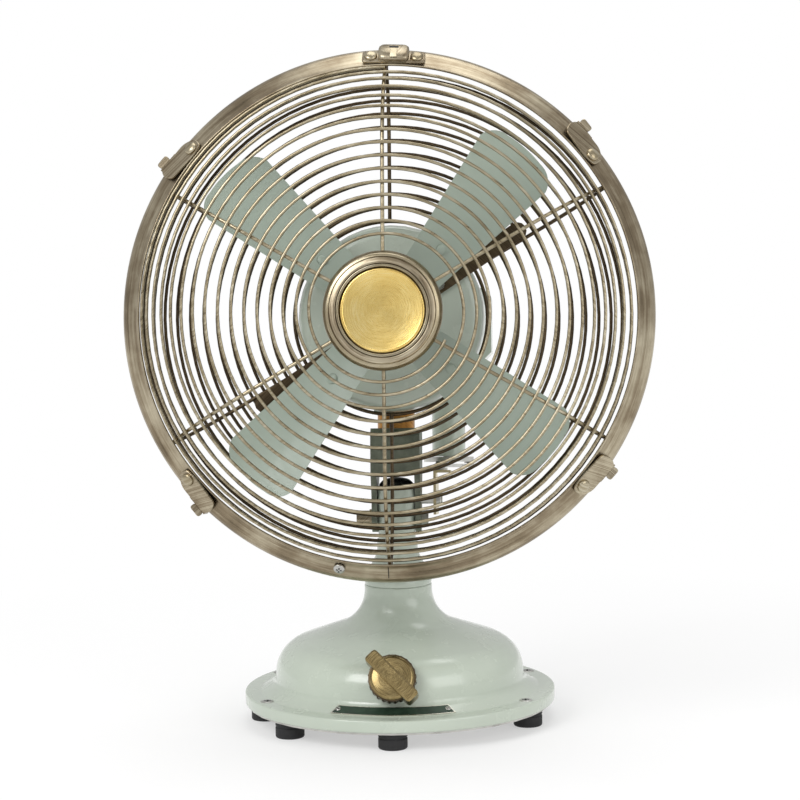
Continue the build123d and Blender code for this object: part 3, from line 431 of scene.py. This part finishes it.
def lathe_into(bm, profile, segments, place=WORLD, closed=False, shape=None):
    """Turns (radius, height) points about z. A closed profile makes a ring."""
    rings = []
    for radius, height in profile:
        if radius < 1e-6:
            rings.append([bm.verts.new(place @ Vector((0, 0, height * MM)))])
            continue
        ring = []
        for i in range(segments):
            turn = 2 * math.pi * i / segments
            reach = radius * (shape(turn, radius, height) if shape else 1.0)
            point = Vector((reach * math.cos(turn), reach * math.sin(turn), height))
            ring.append(bm.verts.new(place @ (point * MM)))
        rings.append(ring)
    pairs = list(zip(rings, rings[1:]))
    if closed:
        pairs.append((rings[-1], rings[0]))
    for low, high in pairs:
        for i in range(segments):
            below = [low[i % len(low)], low[(i + 1) % len(low)]]
            above = [high[(i + 1) % len(high)], high[i % len(high)]]
            corners = below + above
            unique = [v for k, v in enumerate(corners) if v not in corners[:k]]
            if len(unique) > 2:
                bm.faces.new(unique)


def lathe(name, profile, matrix, body, slot, nodes=(), segments=128, closed=False, shape=None, **looks):
    bm = bmesh.new()
    lathe_into(bm, profile, segments, closed=closed, shape=shape)
    built(name, bm, body, slot, nodes, matrix, **looks)


def plate_into(bm, outline, low, high, place=WORLD, bevel=0.3):
    """A plate cut to an outline, its front edges eased."""
    inset = []
    count = len(outline)
    for i in range(count):
        point = Vector(outline[i])
        back = (Vector(outline[i - 1]) - point).normalized()
        ahead = (Vector(outline[(i + 1) % count]) - point).normalized()
        along = ahead - back
        inward = Vector((-along.y, along.x))
        inset.append(point + inward.normalized() * bevel if inward.length else point)
    levels = [(outline, low), (outline, high - bevel), ([tuple(p) for p in inset], high)]
    rings = [[bm.verts.new(place @ (Vector((x, y, z)) * MM)) for x, y in ring] for ring, z in levels]
    bm.faces.new(rings[0][::-1])
    bm.faces.new(rings[-1])
    for under, over in zip(rings, rings[1:]):
        for i in range(count):
            j = (i + 1) % count
            bm.faces.new([under[i], under[j], over[j], over[i]])


def plate(name, outline, low, high, place, bevel, body, slot, **looks):
    bm = bmesh.new()
    plate_into(bm, outline, low, high, place, bevel)
    built(name, bm, body, slot, **looks)


def rectangle(width, height, x=0.0, y=0.0, corner=1.0, turn=0.0):
    half_w, half_h = width / 2, height / 2
    corners = [(-half_w, -half_h), (half_w, -half_h), (half_w, half_h), (-half_w, half_h)]
    rounded = fillet(corners, corner, 3, closed=True)
    cos, sin = cosd(turn), sind(turn)
    return [(x + a * cos - b * sin, y + a * sin + b * cos) for a, b in rounded]


def phillips_into(bm, place, radius, height):
    """A cross recess: arms in painted shade, dark plates standing a hair proud of the head's face."""
    for turn in (0, 90):
        arm = rectangle(1.15 * radius, 0.3 * radius, corner=0.2, turn=turn)
        plate_into(bm, arm, height - 0.4, height + PROUD, place, HAIR)


def dome(radius, height, lip=0.5):
    """Profile of a rivet's head."""
    turns = [90 * i / 8 for i in range(9)]
    cap = [(radius * cosd(t), lip + (height - lip) * sind(t)) for t in turns]
    return [(0, 0), (radius, 0)] + cap[:-1] + [(0, height)]


def wire(name, lines, radius, nodes, material, cyclic=()):
    """Round wire of the guard, along lines of points in the rim's frame."""
    curve = bpy.data.curves.new(name, "CURVE")
    curve.dimensions = "3D"
    curve.bevel_depth = radius * MM
    curve.bevel_resolution = 2
    curve.use_fill_caps = True
    for number, line in enumerate(lines):
        spline = curve.splines.new("POLY")
        spline.points.add(len(line) - 1)
        for point, place in zip(spline.points, line):
            point.co = (*(RIM @ (Vector(place) * MM)), 1)
        spline.use_smooth = True
        spline.use_cyclic_u = number in cyclic
    finish(name, curve, WORLD, "head", "antique_brass", nodes, material)


# ---- base ---------------------------------------------------------------------------------

shoulder = arc(SHOULDER_CENTRE, SHOULDER_RADIUS, 0, SHOULDER_TURN, 22)
roof_slope = 90 - SHOULDER_TURN
roof_rise = (shoulder[-1][0] - ROOF_END) * math.tan(math.radians(roof_slope))
blend_centre = (
    ROOF_END + NECK_BLEND * sind(roof_slope),
    shoulder[-1][1] + roof_rise + NECK_BLEND * cosd(roof_slope),
)
skirt = [
    (FLANGE_RADIUS - 5, FLANGE_BOTTOM),
    (FLANGE_RADIUS, FLANGE_BOTTOM),
    (FLANGE_RADIUS, FLANGE_TOP),
    (STEP_RADIUS + 0.2, STEP_LOW - 0.1),
    (89.4, 26.6),
    (DOME_RADIUS + 0.4, 29.2),
    (DOME_RADIUS, SHOULDER_CENTRE[1]),
]
outer = fillet(skirt, 1.4)[:-1] + shoulder
outer += arc(blend_centre, NECK_BLEND, 180 + SHOULDER_TURN, 180, 20)
neck_mouth = [outer[-1], (NECK_RADIUS, NECK_TOP - 0.8), (NECK_RADIUS - 1, NECK_TOP), (19, NECK_TOP)]
outer += fillet(neck_mouth, 0.8)[1:]
hollow = [(19, 60), (40, 52), (82, 30), (84, FLANGE_BOTTOM + 0.4)]
lathe("base_dome", outer + hollow, WORLD, "base", "sage_paint", ["base_shell"], 160, closed=True)

# the post's first ring goes a little inside the neck, so that the two don't share a surface
flare_step = NECK_RADIUS - POST_RADIUS
flare = [
    (POST_RADIUS + flare_step * (1 + cosd(180 * i / 16)) / 2, NECK_TOP + FLARE_HEIGHT * i / 16)
    for i in range(17)
]
flare[0] = (flare[0][0] - 0.35, flare[0][1])
column = [
    flare[-1],
    (POST_RADIUS, FLAT_BOTTOM - 0.1),
    (POST_RADIUS, FLAT_BOTTOM + 0.1),
    (POST_RADIUS, POST_TOP),
    (POST_BORE, POST_TOP),
]
post = [(18, NECK_TOP - 0.1)] + flare + fillet(column, 1.2)[1:] + [(POST_BORE, 150), (POST_BORE, NECK_TOP)]
bm = bmesh.new()
lathe_into(bm, post, 96, closed=True)
for vert in bm.verts:
    if vert.co.z > FLAT_BOTTOM * MM and abs(vert.co.x) > POST_FLAT * MM:
        vert.co.x = math.copysign(POST_FLAT * MM, vert.co.x)
built("post", bm, "base", "sage_paint", ["neck_post"])

plug = [(0, 163), (8.8, 163), (8.8, 164.1), (CAP_RADIUS, 164.1)]
cap_top = fillet([(CAP_RADIUS, 164.3), (CAP_RADIUS, 166), (9.4, 168.8), (5, 170.1), (0, 170.3)], 2.5, 6)
lathe("post_cap", plug + cap_top, WORLD, "base", "black_plastic", ["neck_cap"], 64)

# each foot has a groove round its side
foot_profile = [
    (0, FOOT_HEIGHT),
    (8.6, FOOT_HEIGHT),
    (FOOT_RADIUS, 11.3),
    (FOOT_RADIUS, 8.6),
    (9.5, 8.2),
    (9.5, 7.5),
    (FOOT_RADIUS, 7.1),
    (FOOT_RADIUS, 1.6),
]
foot_profile += arc((8.6, 1.4), 1.4, 0, -90, 5) + [(0, 0)]
bm = bmesh.new()
for angle in FOOT_ANGLES:
    lathe_into(bm, foot_profile, 40, shifted(*around_base(FOOT_CIRCLE, angle, 0)))
built("rubber_feet", bm, "base", "black_rubber", ["feet"])

screw_seat = FLANGE_TOP - 0.4
screw_profile = [(0, -1.4), (2, -1.4), (4.9, 0.45), (4.9, 0.6), (4.3, 0.95), (0, 1.1)]
heads, crosses = bmesh.new(), bmesh.new()
for angle in SCREW_ANGLES:
    seat = plane(around_base(SCREW_CIRCLE, angle, screw_seat), RIGHT, Vector((0, 0, 1)))
    lathe_into(heads, screw_profile, 32, seat)
    phillips_into(crosses, seat, 4.4, 1.06)
built("base_screw_heads", heads, "base", "zinc", ["flange_screws"])
built("base_screw_recesses", crosses, "base", "zinc", material=painted_shade_and_seam_black)

# ---- nameplate ----------------------------------------------------------------------------


def slope_point(angle, along, lift):
    """On the step under the dome: `along` runs from its foot to its top."""
    radius = STEP_RADIUS - along * cosd(STEP_SLOPE) + lift * sind(STEP_SLOPE)
    height = STEP_LOW + along * sind(STEP_SLOPE) + lift * cosd(STEP_SLOPE)
    return around_base(radius, angle, height) * MM


def curved_plate(name, half_turn, low, high, lift, slant, thickness, **looks):
    """A strip bent round the step, with slanted ends."""
    bm = bmesh.new()
    count = 40
    rows = []
    for along, level in ((low, lift - thickness), (low, lift), (high, lift), (high, lift - thickness)):
        reach = half_turn - slant * (along - low) / (high - low)
        turns = [-reach + 2 * reach * i / count for i in range(count + 1)]
        rows.append([bm.verts.new(slope_point(turn, along, level)) for turn in turns])
    for k in range(4):
        first, second = rows[k], rows[(k + 1) % 4]
        for i in range(count):
            bm.faces.new([first[i], first[i + 1], second[i + 1], second[i]])
    bm.faces.new([row[0] for row in rows])
    bm.faces.new([row[-1] for row in rows][::-1])
    built(name, bm, "base", "green_plate", **looks)


curved_plate("nameplate_border", half_turn=26.0, low=0.7, high=8.9, lift=0.75, slant=1.6, thickness=0.7,
             nodes=["nameplate"], material=silver_edge)
curved_plate("nameplate_field", half_turn=25.3, low=1.35, high=8.25, lift=0.95, slant=1.4, thickness=0.5)

screw_turn = 23.4
screw_along = 4.8
heads, slots = bmesh.new(), bmesh.new()
for sign in (-1, 1):
    angle = sign * screw_turn
    centre = slope_point(angle, screw_along, 0.9)
    normal = slope_point(angle, screw_along, 1.9) - centre
    seat = plane(centre / MM, Vector((cosd(angle), sind(angle), 0)), normal)
    lathe_into(heads, dome(1.9, 0.9, 0.3), 24, seat)
    # painted shade: each screw's slot is a dark plate standing on the head
    plate_into(slots, rectangle(3.0, 0.45, corner=0.1, turn=25 * sign), 0.6, 0.93, seat, HAIR)
built("nameplate_screw_heads", heads, "base", "zinc", ["nameplate_screws"])
built("nameplate_screw_slots", slots, "base", "zinc", material=painted_shade_and_seam_black)

# ---- speed knob ---------------------------------------------------------------------------

scallop_depth = 0.05         # of the radius


def scallops(turn, radius, height):
    """Waves the skirt's side, and leaves the front of its edge and its front face round."""
    if radius <= 15.6 or height >= 8.4:
        return 1.0
    return 1 - scallop_depth * (1 + math.cos(turn * KNOB_SCALLOPS)) / 2


knob_skirt = [
    (0, 1.2),
    (KNOB_RADIUS - 0.6, 1.2),
    (KNOB_RADIUS, 1.7),
    (KNOB_RADIUS, 8.0),
    (KNOB_RADIUS - 0.4, 8.6),
    (15.2, 8.9),
    (0, 8.9),
]
# the knob's skirt takes the brass in painted shade; its face keeps knob_brass
lathe("knob_skirt", knob_skirt, KNOB, "speed_knob", "knob_brass", ["speed_knob"], 288,
      material=painted_shade_brass, shape=scallops)
knob_face = [(0, 8.7)] + fillet([(15.2, 8.8), (15.2, 9.4), (13.8, 10.9), (9, 11.7), (0, 12.0)], 1.4, 5)
lathe("knob_face", knob_face, KNOB, "speed_knob", "knob_brass", (), 96)
grip = rectangle(43, 10, corner=2.6, turn=-45)
plate("knob_grip", grip, 3.4, 17.0, WORLD, 1.3, "speed_knob", "knob_brass", matrix=KNOB, crease=28.0)

# ---- blade rivets -------------------------------------------------------------------------

rivets = bmesh.new()
for quarter in range(4):
    along = spoke(BLADE_PHASE + 90 * quarter)
    chord = FORWARD.cross(along) * cosd(BLADE_PITCH) + FORWARD * sind(BLADE_PITCH)
    normal = along.cross(chord)
    foot = RIM_ORIGIN + FORWARD * BLADE_FORWARD + along * RIVET_CIRCLE + normal * 0.6
    lathe_into(rivets, dome(3.7, 2.0), 32, plane(foot, chord, normal))
built("blade_rivet_heads", rivets, "rotor", "blade_paint", ["blade_rivets"])

# ---- guard --------------------------------------------------------------------------------


def guard_curve(start, radius, slope_start, slope_end, forward, reach):
    """Radius, forward position and slope of a guard's meridian at an arc length."""
    bend = radius * math.radians(slope_start - slope_end)
    slope = math.radians(slope_start - math.degrees(min(reach, bend) / radius))
    along = max(reach - bend, 0)
    centre_radius = start[0] - radius * sind(slope_start)
    centre_forward = start[1] - forward * radius * cosd(slope_start)
    place = centre_radius + radius * math.sin(slope) - along * math.cos(slope)
    rise = radius * math.cos(slope) + along * math.sin(slope)
    return place, centre_forward + forward * rise, slope


def front_curve(reach):
    return guard_curve((166.5, 0), 73.0, 66.0, 4.0, 1, reach)


def rear_curve(reach):
    return guard_curve((168.0, -18.0), 50.0, 60.0, 0.0, -1, reach)


def polar(radius, angle, place):
    return radius * cosd(angle), radius * sind(angle), place


def coil(curve, coil_reach, turns):
    """One wire wound inwards from the top."""
    points_a_turn = 84
    points = []
    for k in range(int(turns * points_a_turn) + 1):
        lap = k / points_a_turn
        radius, place, _ = curve(coil_reach(lap))
        points.append(polar(radius, 90 + 360 * lap, place))
    return points


rib_start = 3.0
rib_depth = 2.5              # behind the guard's curve, towards the blades


def rib(curve, forward, angle, end, foot):
    """A rod from its foot behind the band along the guard's curve."""
    points = [polar(radius, angle, place) for radius, place in foot]
    for k in range(41):
        radius, place, slope = curve(rib_start + (end - rib_start) * k / 40)
        behind = rib_depth * math.sin(slope), forward * rib_depth * math.cos(slope)
        points.append(polar(radius - behind[0], angle, place - behind[1]))
    return points


coil_gauge = 1.15
rod_gauge = 1.3
front_coil = coil(front_curve, lambda lap: 9.2 * lap - 0.0215 * lap * lap, 15.68)
rear_coil = coil(rear_curve, lambda lap: 9.2 * lap, 11.66)
wire("front_coil", [front_coil], coil_gauge, ["front_spiral"], wire_brass)
# the rear coil and rear rods take the brass in painted shade
wire("rear_coil", [rear_coil], coil_gauge, ["rear_spiral"], painted_shade_brass)

front_foot = [(169.6, -6.2), (168.6, -4.6)]
front_rods = [rib(front_curve, 1, angle, 152, front_foot) for angle in RIB_ANGLES]
wire("front_rib_rods", front_rods, rod_gauge, ["front_ribs"], wire_brass)
rear_foot = [(176.4, -15.0), (172, -15.0), (168.5, -15.6)]
rear_rods = [rib(rear_curve, -1, angle, 111, rear_foot) for angle in RIB_ANGLES]
motor_ring = [polar(66.1, 360 * i / 96, -42.6) for i in range(96)]
wire("rear_rib_rods", rear_rods + [motor_ring], rod_gauge, ["rear_ribs"], painted_shade_brass, (len(rear_rods),))

front_rim = [
    (BAND_RADIUS, -22),
    (BAND_RADIUS, -12.6),
    (178.2, -9.2),
    (170.2, -2.4),
    (168.4, 0),
    (167.2, -0.6),
    (167.6, -2.4),
    (176.9, -10),
    (178.8, -13),
    (178.8, -22),
]
lathe("front_rim", fillet(front_rim, 1.6, closed=True), RIM, "head", "antique_brass", ["front_band"],
      220, closed=True)
rear_rim = [(178.6, -25.2), (178.6, -13), (177.4, -13), (177.4, -24), (171.5, -24), (171.5, -25.2)]
# the rear rim takes the brass in painted shade
lathe("rear_rim", fillet(rear_rim, 0.5, 3, closed=True), RIM, "head", "antique_brass", ["rear_band"],
      220, closed=True, material=painted_shade_brass)
plate("rim_seam", rectangle(0.5, 9.6, corner=0.1), -0.25, 0.12, on_band(SEAM_ANGLE), HAIR,
      "head", "antique_brass", material=painted_shade_and_seam_black)

# painted shade: a black ring behind the motor's slots, standing in for the shade inside the motor, which shows black
# through them
lathe("slot_painted_shade", [(47, -43.3), (56, -43.3), (56, -43.0), (47, -43.0)], RIM, "head", "core_steel", (),
      96, closed=True, material=painted_shade_and_seam_black)

# ---- badge --------------------------------------------------------------------------------

back_radius = BADGE_RADIUS - 1.3
badge_back = [(0, BADGE_BACK), (back_radius, BADGE_BACK), (back_radius, BADGE_SEAT), (0, BADGE_SEAT)]
# the badge's back takes the brass in painted shade
lathe("badge_back", fillet(badge_back, 0.4, 3), RIM, "head", "antique_brass", ["badge_plate"], 96, material=painted_shade_brass)

bevel = [
    (37, BADGE_SEAT),
    (BADGE_RADIUS, BADGE_SEAT),
    (BADGE_RADIUS, 51.4),
    (37.4, 54.9),
    (35.4, 55.6),
]
badge_bevel = fillet(bevel, 0.9) + [(35.2, 54.9), (35.2, 49)]
# the bevel takes the brass with painted highlight
lathe("badge_bevel", badge_bevel, RIM, "head", "antique_brass", ["badge_ring"], closed=True,
      material=ring_painted_highlight)
badge_band = fillet([(35.3, 49), (35.3, 55.0), (31.4, 56.1), (30.6, 55.0), (30.6, 49)], 0.7, 3, closed=True)
lathe("badge_band", badge_band, RIM, "head", "antique_brass", closed=True)
badge_lip = fillet([(30.5, 49), (30.5, 55.9), (28.7, 55.9), (28.6, 54.6), (28.6, 49)], 0.5, 3, closed=True)
# the lip takes the brass with painted highlight
lathe("badge_lip", badge_lip, RIM, "head", "antique_brass", closed=True, material=lip_painted_highlight)
badge_face = [
    (0, BADGE_SEAT),
    (DISC_RADIUS, BADGE_SEAT),
    (DISC_RADIUS, 54.0),
    (27.2, 54.4),
    (26.6, 54.4),
    (26.3, 53.9),
    (25.8, 53.7),
    (0, 53.7),
]
lathe("badge_face", badge_face, RIM, "head", "gold_badge", ["badge_disc"], crease=40.0)

# ---- hook, screw and latches --------------------------------------------------------------

hook_place = on_band(HOOK_ANGLE, 0.1)
hook = bmesh.new()
plate_into(hook, rectangle(42.5, 11, corner=2.5), 0, 1.2, hook_place, 0.35)
plate_into(hook, rectangle(20.7, 15, 0, -1.5, corner=4.5), 0, 5.5, hook_place, 1.6)
built("hook_bracket", hook, "head", "antique_brass", ["top_hook"], crease=50.0)
plate("hook_tab", rectangle(4.8, 9.0, 0, 1.2, corner=0.8), 5.2, 6.1, hook_place, 0.25,
      "head", "antique_brass", material=wire_brass)
# painted shade: the hook's slot is a dark plate standing on the bracket
plate("hook_slot", rectangle(6.4, 1.7, 0, -5.0, corner=0.6), 5.0, 5.58, hook_place, HAIR,
      "head", "antique_brass", material=painted_shade_and_seam_black)
rivets = bmesh.new()
for x in (-15.6, 15.6):
    lathe_into(rivets, dome(4.4, 2.5), 40, hook_place @ shifted(x, 0, 1.2))
built("hook_rivet_heads", rivets, "head", "antique_brass", ["hook_rivets"], material=wire_brass)

screw_place = on_band(RIM_SCREW_ANGLE, 0.1)
screw = bmesh.new()
lathe_into(screw, dome(3.9, 2.1, 0.9), 40, screw_place)
built("rim_screw_head", screw, "head", "zinc", ["band_screw"])
recess = bmesh.new()
phillips_into(recess, screw_place, 3.4, 2.02)
built("rim_screw_recess", recess, "head", "zinc", material=painted_shade_and_seam_black)

latch_edge = -9.4            # the plate's outer edge, where the fold starts
latch_depth = -17.3          # how far the fold reaches back
latch_thickness = 1.4
latch_outline = [
    (-6.4, 4.5),
    (-6.4, -4.5),
    (1, latch_edge),
    (24, latch_edge),
    (26.6, -3),
    (24, 5),
    (3, 6.4),
]
latch_outline = fillet(latch_outline, 3.2, 5, closed=True)
rivets = bmesh.new()
for number, angle in enumerate(LATCH_ANGLES, 1):
    place = on_band(angle, 0.3)
    edge = place @ (Vector((0, latch_edge, 0)) * MM) / MM
    fold = plane(edge, place.to_3x3() @ Vector((1, 0, 0)), FORWARD)
    latch = bmesh.new()
    plate_into(latch, latch_outline, 0.0, latch_thickness, place, 0.35)
    plate_into(latch, rectangle(15, latch_thickness, 17, -0.4, corner=0.5), latch_depth, 1.2, fold, 0.3)
    lip = rectangle(10, 6.2, 18.5, 2, corner=0.8)
    plate_into(latch, lip, latch_depth, latch_depth + latch_thickness, fold, 0.2)
    plate_into(latch, rectangle(9, 4.4, 19, -3.0, corner=1.8), -0.6, 1.0, fold, 0.4)
    built(f"latch_plate_{number}", latch, f"latch_{number}", "antique_brass", [f"latch_{number}"])
    lathe_into(rivets, dome(4.5, 2.6), 40, place @ shifted(0, 0, 1.45))
built("latch_rivet_heads", rivets, "head", "antique_brass", ["latch_rivets"], material=wire_brass)

# ---- carried-over nodes -------------------------------------------------------------------

smooth_under = 35.0
weld_distance = 0.00001
# the mounting bar and the latch catches take the brass in painted shade
special = {"mounting_bar": painted_shade_brass, "latch_catches": painted_shade_brass}


def smoothing():
    """Welds a CAD mesh and shades it smooth where its faces meet at a small angle."""
    group = bpy.data.node_groups.new("smooth_by_angle", "GeometryNodeTree")
    for way in ("INPUT", "OUTPUT"):
        group.interface.new_socket("Geometry", in_out=way, socket_type="NodeSocketGeometry")
    add, link = group.nodes.new, group.links.new
    start, end = add("NodeGroupInput"), add("NodeGroupOutput")
    weld = add("GeometryNodeMergeByDistance")
    weld.inputs["Distance"].default_value = weld_distance
    plain = add("GeometryNodeRemoveAttribute")
    plain.inputs["Name"].default_value = "custom_normal"
    faces = add("GeometryNodeSetShadeSmooth")
    edges = add("GeometryNodeSetShadeSmooth")
    edges.domain = "EDGE"
    edges.inputs["Shade Smooth"].default_value = False
    angle = add("GeometryNodeInputMeshEdgeAngle")
    compare = add("FunctionNodeCompare")
    compare.operation = "GREATER_THAN"
    compare.inputs[1].default_value = math.radians(smooth_under)
    link(start.outputs[0], plain.inputs["Geometry"])
    link(plain.outputs[0], weld.inputs["Geometry"])
    link(weld.outputs[0], faces.inputs["Geometry"])
    link(faces.outputs[0], edges.inputs["Geometry"])
    link(angle.outputs[0], compare.inputs[0])
    link(compare.outputs[0], edges.inputs["Selection"])
    link(edges.outputs[0], end.inputs[0])
    return group


smooth_by_angle = smoothing()
slots_of = {row["node"]: row["material_slot"] for row in frame["record"]["subparts"]}
for name, node in frame["nodes"].items():
    material = special.get(name, materials[slots_of[name]])
    if not node.material_slots:
        node.data.materials.append(material)
    for material_slot in node.material_slots:
        material_slot.material = material
    modifier = node.modifiers.new("smooth", "NODES")
    modifier.node_group = smooth_by_angle

# ---- floor --------------------------------------------------------------------------------

floor_size = 14
near_white = 0.45            # share of plain white close to the feet, where the shadow lies
fade_start, fade_end = 0.14, 0.6


def floor_material():
    """White for the eye away from the object, and a pale surface with its shadow close to it."""
    g = Graph("floor")
    tone = g.ramp(g.noise(g.place(), 3.0), [(0.3, srgb(247, 247, 247)), (0.7, srgb(250, 250, 250))])
    g.done(Base_Color=tone, Roughness=0.8)
    rays = g.add("LightPath").outputs
    watched = g.math("MAXIMUM", rays["Is Camera Ray"], rays["Is Glossy Ray"])
    watched = g.math("MAXIMUM", watched, rays["Is Transmission Ray"])
    fade = g.add("MapRange", {
        "Value": g.vector_math("LENGTH", {0: g.place()}, "Value"),
        "From Min": fade_start,
        "From Max": fade_end,
        "To Min": near_white,
        "To Max": 1.0,
    }).outputs[0]
    white = g.add("Emission").outputs[0]
    share = g.math("MULTIPLY", watched, fade)
    blended = g.add("MixShader", {0: share, 1: g.shader.outputs[0], 2: white}).outputs[0]
    g.tree.links.new(blended, g.tree.nodes["Material Output"].inputs["Surface"])
    return g.material


bpy.ops.mesh.primitive_plane_add(size=floor_size)
floor = bpy.context.object
floor.name = "floor"
floor.data.materials.append(floor_material())

# ---- world and lamps ----------------------------------------------------------------------

sky_light = 0.62             # strength on the object; the eye sees 1, which is white


def set_world():
    world = bpy.context.scene.world or bpy.data.worlds.new("world")
    bpy.context.scene.world = world
    world.use_nodes = True
    add, link = world.node_tree.nodes.new, world.node_tree.links.new
    world.node_tree.nodes.clear()
    path = add("ShaderNodeLightPath")
    seen = add("ShaderNodeMath")
    seen.operation = "MAXIMUM"
    link(path.outputs["Is Camera Ray"], seen.inputs[0])
    link(path.outputs["Is Transmission Ray"], seen.inputs[1])
    strength = add("ShaderNodeMapRange")
    strength.inputs["To Min"].default_value = sky_light
    strength.inputs["To Max"].default_value = 1.0
    link(seen.outputs[0], strength.inputs["Value"])
    background = add("ShaderNodeBackground")
    background.inputs["Color"].default_value = (1, 1, 1, 1)
    link(strength.outputs[0], background.inputs["Strength"])
    link(background.outputs[0], add("ShaderNodeOutputWorld").inputs["Surface"])


def lamp(name, place, aim, size, power):
    data = bpy.data.lights.new(name, "AREA")
    data.size = size
    data.energy = power
    light = bpy.data.objects.new(name, data)
    light.location = place
    light.rotation_euler = (Vector(aim) - Vector(place)).to_track_quat("-Z", "Y").to_euler()
    bpy.context.collection.objects.link(light)


set_world()
lamp("key", (-1.1, -1.5, 1.5), aim=(0, -0.05, 0.25), size=1.0, power=22)
lamp("fill", (1.5, -1.3, 0.9), aim=(0, -0.05, 0.2), size=1.2, power=9)
lamp("top", (0.1, 0.3, 1.9), aim=(0, 0, 0.2), size=1.2, power=10)

bpy.context.scene.view_settings.view_transform = "Standard"
